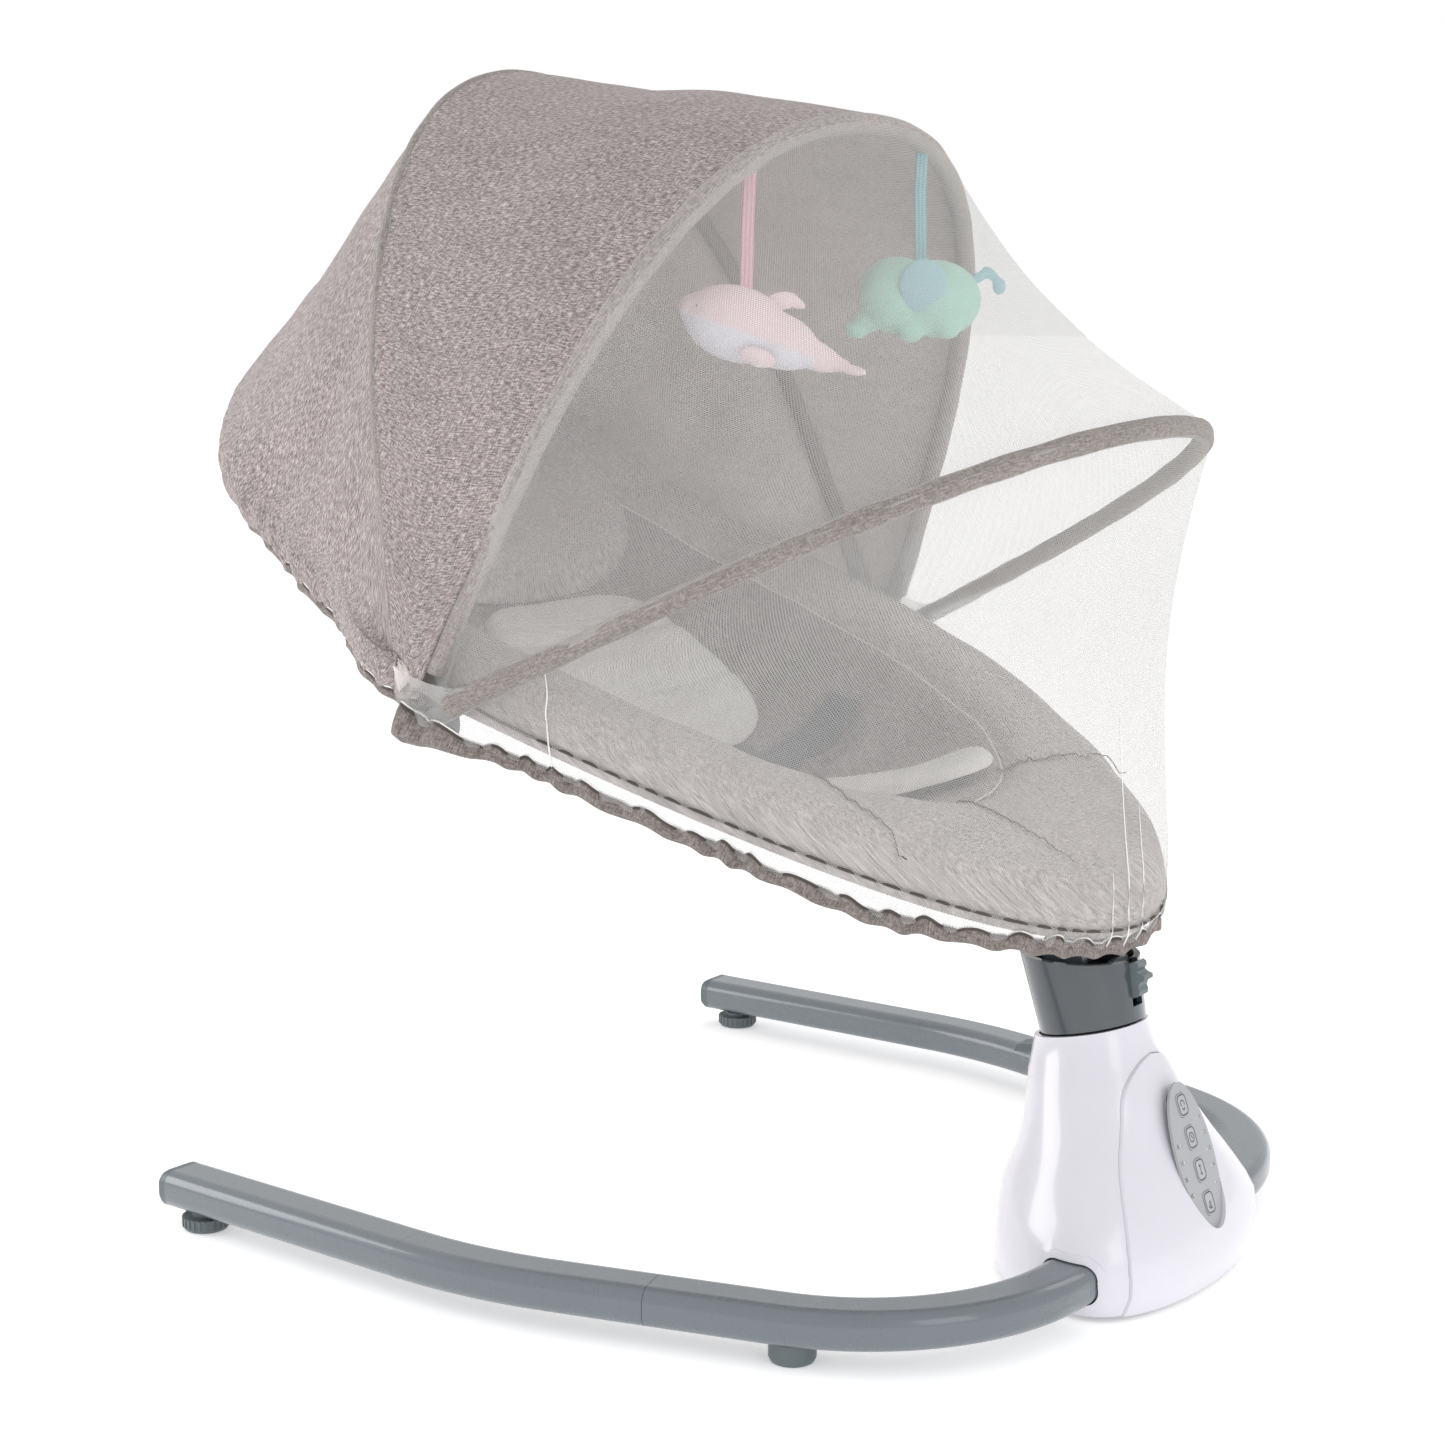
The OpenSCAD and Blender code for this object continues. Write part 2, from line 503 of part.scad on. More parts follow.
module buckle() color([0.45, 0.47, 0.50]) placed()
    translate([buckle_x, 0, seat_top(buckle_x, 0) + 7]) rotate([0, 12, 0])
        translate([-13, -19, 0]) cube([26, 38, 8]);

// ---------------------------------------------------------------- hood and net
// point of a hoop: deg is its plane, reach its height, e its squareness, a runs from side to side
function hoop_point(deg, reach, e, half, a, out = 0) =
    let (v = (reach + out) * pow(sin(a), 2 / e))
    [pivot_x + v * cos(deg), -(half + out) * power(cos(a), 2 / e), pivot_z + v * sin(deg)];
mid_hoop_shape = [mid_deg, 371, 2.1, hoop_y[0]];
front_hoop_shape = [front_deg, 345, 2.29, hoop_y[1]];
net_hoop_shape = [net_deg, 355.7, 2.16, hoop_y[2]];
function shape_point(s, a, out = 0) = hoop_point(s[0], s[1], s[2], s[3], a, out);
hoop_steps = 40;
start_deg = 6.6;
module hoop(s) {
    n = [-sin(s[0]), 0, cos(s[0])];
    bar([for (k = [0 : hoop_steps]) shape_point(s, lerp(start_deg, 180 - start_deg, k / hoop_steps))],
        n, hoop_r, hoop_r);
    both_sides() at_pivot(s[0]) translate([0, -s[3] - 1.5, 0]) difference() {
        union() {
            rotate([-90, 0, 0]) cylinder(r = 9, h = 3);
            translate([0, 0, -5]) cube([hoop_flat, 3, 10]);
        }
        translate([0, -5, 0]) rotate([-90, 0, 0]) cylinder(r = 4.05, h = 12);
    }
}
module mid_hoop() color([0.45, 0.46, 0.47]) placed() hoop(mid_hoop_shape);
module front_hoop() color([0.72, 0.70, 0.69]) placed() hoop(front_hoop_shape);
module net_hoop() color([0.62, 0.60, 0.59]) placed() hoop(net_hoop_shape);

module hood_pivot() {
    translate([pivot_x, -226, pivot_z]) rotate([-90, 0, 0]) cylinder(r = 4, h = 20);
    translate([pivot_x, -228.5, pivot_z]) rotate([-90, 0, 0]) cylinder(r = 8, h = 3);
    translate([pivot_x, -213.5, pivot_z]) rotate([-90, 0, 0]) cylinder(r = 12.5, h = 8.6);
}
module hood_pivot_right() color([0.35, 0.37, 0.39]) placed() hood_pivot();
module hood_pivot_left() color([0.35, 0.37, 0.39]) placed() mirror([0, 1, 0]) hood_pivot();

// fabric stretched between two hoops, held just outside them
panel_cols = 28;
function panel_row(s, t, u, out, a0) =
    [for (j = [0 : panel_cols]) let (a = lerp(a0, 180 - a0, j / panel_cols))
        lerp(shape_point(s, a, out), shape_point(t, a, out), u)];
module hoop_sheet(s, t, u0, u1, thick, rows = 3, a0 = 12)
    sheet_solid([for (i = [0 : rows]) panel_row(s, t, lerp(u0, u1, i / rows), hoop_r + 0.6 + thick, a0)],
                [for (i = [0 : rows]) panel_row(s, t, lerp(u0, u1, i / rows), hoop_r + 0.6, a0)]);
module hood_front_panel() color(cloth) placed() hoop_sheet(front_hoop_shape, mid_hoop_shape, 0, 0.965, 2);
module net_upper() color(mesh_white) placed() hoop_sheet(net_hoop_shape, front_hoop_shape, 0.02, 0.97, 1);
// skirt from a hoop down over the seat rim; b0 is the rim angle where it begins
flare = 10;                      // extra reach of the skirt beside the hood pivots
function rim_row(b0, b1, d, dz) = [for (j = [0 : panel_cols]) let (u = j / panel_cols)
    rim_at(lerp(b0, b1, u), d + flare * pow(abs(2 * u - 1), 5), dz)];
function mix_rows(p, q, u) = [for (j = [0 : panel_cols]) lerp(p[j], q[j], u)];
function skirt_rows(s, b0, b1, out, tuck) =
    let (top = panel_row(s, s, 0, hoop_r + 0.6 + out, 12), brim = rim_row(b0, b1, 9 + out, 2))
    concat([for (u = [0.05, 0.35, 0.7]) mix_rows(top, brim, u)], [brim, rim_row(b0, b1, tuck[0] + out, tuck[1])]);
module skirt(s, b0, b1, tuck, thick)
    sheet_solid(skirt_rows(s, b0, b1, thick, tuck), skirt_rows(s, b0, b1, 0, tuck));
hood_tuck = [5, -18];
net_tuck = [8, -15];
module hood_rear_panel() color(cloth) placed() skirt(mid_hoop_shape, 276, 84, hood_tuck, 2);
module net_lower() color(mesh_white) placed() skirt(net_hoop_shape, -70, 70, net_tuck, 1);
// gathered elastic hems under the rim
module hem_bar(b0, b1, d, dz)
    bar([for (k = [0 : 32]) rim_at(lerp(b0, b1, k / 32), d, dz)], [0, 0, 1], 4, 3.5);
module net_hem() color([0.50, 0.47, 0.45]) placed() hem_bar(-68, 68, 5, -22);
module hood_rear_hem() color([0.50, 0.47, 0.45]) placed() hem_bar(82, 278, -1, -23);

// ---------------------------------------------------------------- toys
dolphin_at = shape_point(front_hoop_shape, 66.5);
elephant_at = shape_point(front_hoop_shape, 103);
toy_turn = 36;                   // both toys are seen side on from the near front corner
module ribbon(drop) translate([-3.5, -0.6, -drop]) cube([7, 1.2, drop]);
module toy_dolphin() color([0.98, 0.78, 0.82]) placed() translate(dolphin_at - [0, 0, hoop_r + 3])
    rotate([0, 0, toy_turn]) {
        ribbon(66);
        hull() {
            translate([-24, 0, -70]) sphere(r = 10, $fn = 24);
            translate([-6, 0, -76]) sphere(r = 19, $fn = 24);
            translate([18, 0, -84]) sphere(r = 15, $fn = 24);
            translate([50, 0, -100]) sphere(r = 4, $fn = 24);
        }
    }
module toy_elephant() color([0.62, 0.84, 0.75]) placed() translate(elephant_at - [0, 0, hoop_r + 3])
    rotate([0, 0, toy_turn]) {
        ribbon(64);
        hull() {
            translate([-26, 0, -96]) sphere(r = 7, $fn = 24);
            translate([-8, 0, -76]) sphere(r = 20, $fn = 24);
            translate([16, 0, -84]) sphere(r = 19, $fn = 24);
        }
    }

base_tube_front();
base_tube_rear_left();
base_tube_rear_right();
tube_end_caps();
front_feet();
rear_foot_left();
rear_foot_right();
housing_body();
housing_front_cover();
base_plate();
base_screws();
base_pads();
rear_tab();
control_panel();
button_power();
button_timer();
button_speed();
button_music();
circuit_board();
indicator_leds();
speaker();
power_jack();
drive_coil();
bearing_bracket();
bearings();
swing_shaft();
drive_lever();
drive_magnet();
column_shell();
recline_pin();
release_slider();
seat_bracket();
seat_ring();
seat_cover();
head_pillow();
body_insert();
crotch_pad();
waist_straps();
buckle();
hood_pivot_left();
hood_pivot_right();
hood_rear_hem();
mid_hoop();
hood_rear_panel();
front_hoop();
hood_front_panel();
net_hoop();
net_upper();
net_lower();
net_hem();
toy_dolphin();
toy_elephant();
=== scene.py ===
"""Looks of the baby swing: soft goods, materials, light and camera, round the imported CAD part."""
import json
import math

import bpy
import bmesh
import numpy as np
from mathutils import Matrix, Vector


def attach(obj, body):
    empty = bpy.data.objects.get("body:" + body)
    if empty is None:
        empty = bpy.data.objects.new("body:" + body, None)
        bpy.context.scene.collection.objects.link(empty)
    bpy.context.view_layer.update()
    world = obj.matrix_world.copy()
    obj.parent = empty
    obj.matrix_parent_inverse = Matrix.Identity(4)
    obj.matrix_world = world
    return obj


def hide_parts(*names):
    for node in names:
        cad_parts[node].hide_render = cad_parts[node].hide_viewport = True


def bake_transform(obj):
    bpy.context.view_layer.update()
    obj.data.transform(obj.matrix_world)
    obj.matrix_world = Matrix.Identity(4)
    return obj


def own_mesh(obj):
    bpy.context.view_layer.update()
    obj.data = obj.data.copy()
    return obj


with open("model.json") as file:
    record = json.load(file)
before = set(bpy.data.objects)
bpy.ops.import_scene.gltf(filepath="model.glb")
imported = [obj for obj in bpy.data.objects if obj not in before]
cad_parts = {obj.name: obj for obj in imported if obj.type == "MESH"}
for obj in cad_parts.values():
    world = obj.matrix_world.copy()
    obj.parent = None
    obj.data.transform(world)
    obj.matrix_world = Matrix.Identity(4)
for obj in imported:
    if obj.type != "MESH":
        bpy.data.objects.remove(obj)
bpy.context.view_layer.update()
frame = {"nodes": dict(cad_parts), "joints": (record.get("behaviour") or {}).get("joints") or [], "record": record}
nodes = frame["nodes"]
joints = {j["name"]: j for j in frame["joints"]}
slots = {s["node"]: s["material_slot"] for s in frame["record"]["subparts"]}
JOINT_X = 227.0                                   # the swing joint's place along the part, mm
XO = joints["sway"]["pos_m"][0] * 1000 - JOINT_X  # the CAD part's shift along x


# ------------------------------------------------------------------ maths, in mm
def power(c, e):
    return np.sign(c) * np.abs(c) ** e


def smooth(u):
    v = np.clip(u, 0, 1)
    return v * v * (3 - 2 * v)


def lerp(a, b, u):
    return a * (1 - u) + b * u


def unit(v):
    return v / np.maximum(np.linalg.norm(v, axis=-1, keepdims=True), 1e-9)


def waves(p, size, seed, count=7):
    """Smooth unevenness of about one unit over points p; size is its wavelength."""
    rng = np.random.default_rng(seed)
    total = 0
    for _ in range(count):
        d = unit(rng.normal(size=3))
        total = total + np.sin((p @ d) * 2 * math.pi / (size * rng.uniform(0.7, 1.5)) + rng.uniform(0, 6.3))
    return total / math.sqrt(count)


def wobble(s, size, seed, count=5):
    rng = np.random.default_rng(seed)
    total = 0
    for _ in range(count):
        total = total + np.sin(s * 2 * math.pi / (size * rng.uniform(0.65, 1.6)) + rng.uniform(0, 6.3))
    return total / math.sqrt(count)


def along(p):
    """Running length of a line of points."""
    d = np.linalg.norm(np.diff(p, axis=0), axis=1)
    return np.concatenate([[0], np.cumsum(d)])


def loft(rows, step=4.0):
    """Smooth rows of points through a few control rows, about step apart."""
    p = np.array(rows, float)
    h = np.maximum(np.linalg.norm(np.diff(p, axis=0), axis=2).mean(1), 1e-6)
    t = np.concatenate([[0], np.cumsum(h)])
    s = np.diff(p, axis=0) / h[:, None, None]
    m = np.empty_like(p)
    m[0], m[-1] = s[0], s[-1]
    for i in range(1, len(p) - 1):
        m[i] = (h[i] * s[i - 1] + h[i - 1] * s[i]) / (h[i - 1] + h[i])
    n = max(4, int(t[-1] / step))
    grid_t = np.linspace(0, t[-1], n + 1)
    k = np.clip(np.searchsorted(t, grid_t, side="right") - 1, 0, len(h) - 1)
    u = ((grid_t - t[k]) / h[k])[:, None, None]
    w = h[k][:, None, None]
    # a short step between two rows takes short tangents, so that it doesn't loop
    reach = 1.5 * np.linalg.norm(np.diff(p, axis=0), axis=2)[k][..., None]
    m0, m1 = w * m[k], w * m[k + 1]
    m0 = m0 * np.minimum(1, reach / np.maximum(np.linalg.norm(m0, axis=-1, keepdims=True), 1e-9))
    m1 = m1 * np.minimum(1, reach / np.maximum(np.linalg.norm(m1, axis=-1, keepdims=True), 1e-9))
    return ((2 * u**3 - 3 * u**2 + 1) * p[k] + (u**3 - 2 * u**2 + u) * m0
            + (3 * u**2 - 2 * u**3) * p[k + 1] + (u**3 - u**2) * m1), grid_t


def normals(p):
    """Unit normals of a grid of points."""
    return unit(np.cross(np.gradient(p, axis=1), np.gradient(p, axis=0)))


# ------------------------------------------------------------------ the seat's and hood's lines
PX, PZ = -58.6, 298.0                 # hood pivots
HALF, FOOT, HEAD, MID = 212.0, 390.0, 182.0, -143.0   # the rim's half width, its reach each way, its middle
RIM_Z, RIM_SLOPE = 322, 0.338         # the rim's height at the pivots and its fall towards the foot
BOWL_HALF, BOWL_FOOT, BOWL_HEAD, BOWL_MID = 142, 225, 212, -80      # the same four for the bowl
BOWL_POWER = 2.2                      # how square the bowl's outline is
BOWL_SEAM = 1.02                      # the bowl's piping runs at this share of its outline
CENTRE = np.array([-60.0, 0, 360.0])  # between seat and hood; the outside of the cloth faces away from it


def rim_z(x):
    u = x - PX
    curl = np.where(u < 0, 0.0006, -0.0002) * u * u + 0.0008 * np.maximum(0, -u - 90) ** 2
    return RIM_Z - RIM_SLOPE * u + curl


def rim_xy(a):
    """The rim in plan; angle 0 is the foot end. It narrows a little towards the head."""
    a = np.radians(a)
    c = np.cos(a)
    x = MID + np.where(c > 0, FOOT * power(c, 1.035), HEAD * power(c, 0.95))
    taper = 0.13 * smooth((-75 - x) / 90) * (1 - smooth((-200 - x) / 70))
    return np.stack([x, HALF * np.sin(a) * (1 - taper)], -1)


def rim_at(a, d, dz):
    """Points d outside the rim and dz above it."""
    t = unit(rim_xy(a + 0.5) - rim_xy(a - 0.5))
    q = rim_xy(a) + np.stack([t[..., 1], -t[..., 0]], -1) * np.asarray(d * np.ones(np.shape(a)))[..., None]
    return np.concatenate([q, (rim_z(q[..., 0]) + dz)[..., None]], -1)


def squeeze(p):
    """The pad is pressed flat beside the hood pivots."""
    limit = 207 + 14 * (smooth((-108 - p[..., 0]) / 30) + smooth((p[..., 0] - 2) / 40))
    q = p.copy()
    q[..., 1] = np.sign(p[..., 1]) * np.minimum(np.abs(p[..., 1]), limit)
    return q


def bowl_drop(x, s):
    """How far the seat lies below the rim's height, at a share s of the bowl's outline."""
    return (30 + 38 * np.exp(-((x - 10) / 120) ** 2)) * (1 - np.minimum(1, s) ** 2.8)


def bowl_xy(a, s):
    a = np.radians(a)
    c = np.cos(a)
    reach = np.where(c > 0, BOWL_FOOT, BOWL_HEAD)
    e = 2 / BOWL_POWER
    return np.stack([BOWL_MID + s * reach * power(c, e), s * BOWL_HALF * power(np.sin(a), e)], -1)


def bowl_share(x, y):
    """0 in the middle of the bowl and 1 on its outline."""
    u = np.abs(x - BOWL_MID) / np.where(x > BOWL_MID, BOWL_FOOT, BOWL_HEAD)
    v = np.abs(y) / BOWL_HALF
    return (u ** BOWL_POWER + v ** BOWL_POWER) ** (1 / BOWL_POWER)


def bowl_ring(a, s, dz):
    q = bowl_xy(a, s)
    z = rim_z(q[..., 0]) + dz - bowl_drop(q[..., 0], s)
    return np.concatenate([q, z[..., None]], -1)


def seat_top(x, y):
    """Height of the seat's upper side."""
    s = bowl_share(x, y)
    return rim_z(x) - bowl_drop(x, s) - 1 + 10 * smooth((s - 0.72) / 0.33)


# each hoop's angle from level, its reach, the power of its curve and its half width
HOOPS = {"mid_hoop": (107.6, 371, 2.1, 215.5), "front_hoop": (67, 345, 2.29, 219),
         "net_hoop": (26.4, 355.7, 2.16, 222.5)}


def hoop_line(name, a, out=0.0):
    deg, reach, e, half = HOOPS[name]
    r = np.radians(a)
    v = (reach + out) * np.sin(r) ** (2 / e)
    d = math.radians(deg)
    return np.stack([PX + v * math.cos(d), -(half + out) * power(np.cos(r), 2 / e), PZ + v * math.sin(d)], -1)


def hub_out(a, base, extra):
    """Fabric stands further out where it passes over the pivots."""
    side = np.minimum(a, 180 - a)
    return base + extra * (1 - smooth((side - 3) / 16))


# ------------------------------------------------------------------ mesh makers
def to_world(p):
    q = np.asarray(p, float).reshape(-1, 3).copy()
    q[:, 0] += XO
    return q / 1000


def place(name, data):
    ob = bpy.data.objects.new(name, data)
    bpy.context.scene.collection.objects.link(ob)
    return ob


def make(name, verts, faces, uv, material, smooth_faces=True):
    me = bpy.data.meshes.new(name)
    me.from_pydata(to_world(verts).tolist(), [], [list(map(int, f)) for f in faces])
    layer = me.uv_layers.new(name="UVMap")
    index = np.zeros(len(me.loops), int)
    me.loops.foreach_get("vertex_index", index)
    layer.data.foreach_set("uv", (np.asarray(uv, float).reshape(-1, 2)[index] / 1000).ravel())
    me.polygons.foreach_set("use_smooth", [smooth_faces] * len(me.polygons))
    me.materials.append(material)
    return place(name, me)


def grid_faces(r, c, close_u=False, close_v=False):
    i, j = np.meshgrid(np.arange(r if close_v else r - 1), np.arange(c if close_u else c - 1), indexing="ij")
    i, j = i.ravel(), j.ravel()
    i2, j2 = (i + 1) % r, (j + 1) % c
    return np.stack([i * c + j, i * c + j2, i2 * c + j2, i2 * c + j], -1)


def grid_uv(p):
    """Lengths along the rows and the columns, in mm."""
    du = np.linalg.norm(np.diff(p, axis=1), axis=2)
    u = np.concatenate([np.zeros((len(p), 1)), np.cumsum(du, 1)], 1)
    u = u - u[:, -1:] / 2
    dv = np.linalg.norm(np.diff(p, axis=0), axis=2)
    v = np.concatenate([np.zeros((1, p.shape[1])), np.cumsum(dv, 0)], 0)
    return np.stack([u, v], -1)


def grid(name, p, material, uv=None, **close):
    return make(name, p, grid_faces(*p.shape[:2], **close), grid_uv(p) if uv is None else uv, material)


def tube(name, line, r, material, sides=10, closed=False, flat=1.0, up=(0, 0, 1)):
    """Round or flattened bar along a line; r may vary along it."""
    line = np.asarray(line, float)
    t = unit(np.roll(line, -1, 0) - np.roll(line, 1, 0)) if closed else unit(np.gradient(line, axis=0))
    a = unit(np.cross(np.broadcast_to(np.asarray(up, float), t.shape), t))
    b = unit(np.cross(t, a))
    k = np.linspace(0, 2 * math.pi, sides, endpoint=False)
    r = np.broadcast_to(np.asarray(r, float), (len(line),))[:, None, None]
    cos, sin = (f(k)[None, :, None] for f in (np.cos, np.sin))
    p = line[:, None] + r * (a[:, None] * cos + flat * b[:, None] * sin)
    faces = grid_faces(len(line), sides, close_u=True, close_v=closed).tolist()
    if not closed:
        faces += [list(range(sides))[::-1], [(len(line) - 1) * sides + q for q in range(sides)]]
    s = along(line)
    girth = np.linspace(0, 1, sides) * 2 * math.pi * float(np.mean(r))
    uv = np.stack(np.meshgrid(girth, s), -1)
    return make(name, p, faces, uv, material)


def join(name, objects):
    bpy.ops.object.select_all(action="DESELECT")
    for o in objects:
        o.select_set(True)
    bpy.context.view_layer.objects.active = objects[0]
    bpy.ops.object.join()
    objects[0].name = name
    objects[0].data.name = name
    return objects[0]


def evaluated(ob):
    """A new mesh of the object with its modifiers, or of a text object."""
    bpy.context.view_layer.update()
    return bpy.data.meshes.new_from_object(ob.evaluated_get(bpy.context.evaluated_depsgraph_get()))


def apply_modifiers(ob):
    me = evaluated(ob)
    ob.modifiers.clear()
    ob.data = me


def lined(ob, mm=1.4):
    """Gives outer cloth a paler inner layer: its paleness is painted light, standing in for light shining through
    the thin cloth.
    """
    me = ob.data
    centre = Vector(to_world(CENTRE)[0])
    if sum(f.normal.dot(f.center - centre) for f in me.polygons) < 0:
        me.flip_normals()
    # painted light: the inner layer's pale colour stands in for light shining through the thin hood cloth
    me.materials.append(LINING_PAINTED_LIGHT)
    m = ob.modifiers.new("thickness", "SOLIDIFY")
    m.thickness = mm / 1000
    m.offset = -1
    m.material_offset = 1
    return ob


# ------------------------------------------------------------------ materials
class Paint:
    """A material's nodes, with short ways to add and join them."""

    def __init__(self, name):
        self.m = bpy.data.materials.new(name)
        self.m.use_nodes = True
        self.tree = self.m.node_tree
        self.tree.nodes.clear()
        self.out = self.node("ShaderNodeOutputMaterial")

    def node(self, kind, inputs=None, **props):
        n = self.tree.nodes.new(kind)
        for k, v in props.items():
            setattr(n, k, v)
        for k, v in (inputs or {}).items():
            if isinstance(v, bpy.types.NodeSocket):
                self.tree.links.new(v, n.inputs[k])
            else:
                n.inputs[k].default_value = v
        return n

    def coords(self, kind, scale):
        c = self.node("ShaderNodeTexCoord").outputs[kind]
        return self.node("ShaderNodeMapping", {"Vector": c, "Scale": scale}).outputs["Vector"]

    def noise(self, vector, scale, detail=3.0, rough=0.6):
        return self.node("ShaderNodeTexNoise", {"Vector": vector, "Scale": scale, "Detail": detail,
                                                "Roughness": rough}).outputs["Fac"]

    def ramp(self, fac, stops):
        n = self.node("ShaderNodeValToRGB", {"Fac": fac})
        e = n.color_ramp.elements
        while len(e) < len(stops):
            e.new(0.5)
        for s, (at, c) in zip(e, stops):
            s.position = at
            s.color = (*c, 1)
        return n.outputs["Color"]

    def math(self, op, a, b=0.0):
        return self.node("ShaderNodeMath", {0: a, 1: b}, operation=op).outputs[0]

    def multiply(self, a, b):
        return self.node("ShaderNodeMix", {0: 1.0, 6: a, 7: b}, data_type="RGBA",
                         blend_type="MULTIPLY").outputs[2]

    def bump(self, height, strength, distance):
        return self.node("ShaderNodeBump", {"Height": height, "Strength": strength,
                                            "Distance": distance}).outputs["Normal"]

    def finish(self, shader):
        self.tree.links.new(shader, self.out.inputs["Surface"])
        return self.m

    def surface(self, color, rough, normal=None, **extra):
        inputs = {"Base Color": color, "Roughness": rough}
        if normal is not None:
            inputs["Normal"] = normal
        inputs.update({k.replace("_", " "): v for k, v in extra.items()})
        return self.node("ShaderNodeBsdfPrincipled", inputs).outputs["BSDF"]


def tone(r, g, b):
    """Screen colour 0-255 to linear."""
    return tuple((c / 255 / 12.92) if c <= 10 else ((c / 255 + 0.055) / 1.055) ** 2.4 for c in (r, g, b))


def plastic(name, rgb, rough=0.4, coat=0.0, spread=0.06, grain=0.15, metal=0.0):
    """Moulded or painted surface: spread is how far its colour wanders, grain its fine relief."""
    p = Paint(name)
    v = p.coords("Object", (1, 1, 1))
    c = tone(*rgb)
    fac = p.noise(v, 22, 4)
    lo = tuple(x * (1 - spread) for x in c)
    hi = tuple(min(1, x * (1 + spread)) for x in c)
    color = p.ramp(fac, [(0.3, lo), (0.7, hi)])
    r = p.ramp(p.noise(v, 60, 3), [(0.25, (rough * 0.85,) * 3), (0.75, (min(1, rough * 1.15),) * 3)])
    normal = p.bump(p.noise(v, 1500, 2), grain, 0.0004)
    return p.finish(p.surface(color, r, normal, Metallic=metal, Coat_Weight=coat, Coat_Roughness=0.06))


def melange(name, low, mean, high, weave=900.0, large=0.05):
    """Yarn-dyed cloth: fine light and dark slubs along two thread directions over a plain weave."""
    fine, coarse = 1100, 230              # slubs per metre, across a thread and along it
    p = Paint(name)
    uv = p.coords("UV", (1, 1, 1))
    lengthways = p.noise(p.coords("UV", (fine, coarse, 1)), 1.0, 4, 0.62)
    across = p.noise(p.coords("UV", (coarse, fine, 1)), 1.0, 3, 0.6)
    speck = p.noise(uv, 1400, 2)
    fac = p.math("ADD", p.math("MULTIPLY", lengthways, 0.5), p.math("MULTIPLY", across, 0.3))
    fac = p.math("ADD", fac, p.math("MULTIPLY", speck, 0.2))
    color = p.ramp(fac, [(0.41, tone(*low)), (0.5, tone(*mean)), (0.59, tone(*high))])
    brushed = p.noise(p.coords("UV", (fine / 9, coarse / 16, 1)), 1.0, 4, 0.6)
    patch = p.noise(uv, 14, 3)
    drift = p.math("ADD", p.math("MULTIPLY", brushed, 0.6), p.math("MULTIPLY", patch, 0.4))
    color = p.multiply(color, p.ramp(drift, [(0.38, (1 - 2 * large,) * 3), (0.62, (1 + large,) * 3)]))
    thread = {"Vector": uv, "Scale": weave / (2 * math.pi), "Distortion": 0.6, "Detail": 1.0}
    warp, weft = (p.node("ShaderNodeTexWave", thread, bands_direction=d).outputs["Fac"] for d in "XY")
    height = p.math("ADD", p.math("MAXIMUM", warp, weft), lengthways)
    normal = p.bump(height, 0.35, 0.0005)
    return p.finish(p.surface(color, 0.88, normal, Sheen_Weight=0.15, Sheen_Roughness=0.5,
                              Specular_IOR_Level=0.2))


def netting(name, rgb, thread, hole_share, pitch=1.35):
    """Sheer knitted mesh: threads round rows of small holes, clear between them."""
    p = Paint(name)
    uv = p.coords("UV", (1000 / pitch, 1000 / pitch, 1))
    sep = p.node("ShaderNodeSeparateXYZ", {"Vector": uv})
    x, y = sep.outputs["X"], sep.outputs["Y"]
    two_pi = 2 * math.pi
    slant = p.math("MULTIPLY", y, 0.577)
    cx, cy = (p.math("COSINE", p.math("MULTIPLY", p.math(op, x, slant), two_pi))
              for op in ("ADD", "SUBTRACT"))
    cz = p.math("COSINE", p.math("MULTIPLY", y, 1.1547 * two_pi))
    cell = p.math("ADD", p.math("ADD", cx, cy), cz)
    hole = p.node("ShaderNodeMapRange", {"Value": cell, "From Min": -0.3, "From Max": 0.8,
                                         "To Min": thread, "To Max": hole_share}).outputs[0]
    shade = p.noise(p.coords("UV", (1, 1, 1)), 40, 3)
    color = p.ramp(shade, [(0.3, tone(*[c - 6 for c in rgb])), (0.7, tone(*rgb))])
    cloth = p.node("ShaderNodeBsdfDiffuse", {"Color": color}).outputs[0]
    through = p.node("ShaderNodeBsdfTranslucent", {"Color": color}).outputs[0]
    body = p.node("ShaderNodeMixShader", {0: 0.45, 1: cloth, 2: through}).outputs[0]
    clear = p.node("ShaderNodeBsdfTransparent").outputs[0]
    return p.finish(p.node("ShaderNodeMixShader", {0: hole, 1: clear, 2: body}).outputs[0])


def plush(name, rgb):
    p = Paint(name)
    v = p.coords("Object", (1, 1, 1))
    c = tone(*rgb)
    fac = p.noise(v, 900, 4, 0.7)
    color = p.ramp(fac, [(0.3, tuple(x * 0.86 for x in c)), (0.7, tuple(min(1, x * 1.06) for x in c))])
    normal = p.bump(p.noise(v, 1300, 4, 0.75), 0.5, 0.0008)
    return p.finish(p.surface(color, 0.95, normal, Sheen_Weight=0.6, Sheen_Roughness=0.4,
                              Specular_IOR_Level=0.1))


def webbing(name, rgb):
    p = Paint(name)
    uv = p.coords("UV", (1, 1, 1))
    c = tone(*rgb)
    ribs = p.node("ShaderNodeTexWave", {"Vector": uv, "Scale": 120.0, "Distortion": 0.8},
                  bands_direction="Y").outputs["Fac"]
    color = p.ramp(p.math("MULTIPLY", ribs, p.noise(uv, 900, 2)),
                   [(0.1, tuple(x * 0.75 for x in c)), (0.6, tuple(min(1, x * 1.15) for x in c))])
    normal = p.bump(ribs, 0.5, 0.0006)
    return p.finish(p.surface(color, 0.8, normal, Sheen_Weight=0.2, Specular_IOR_Level=0.3))


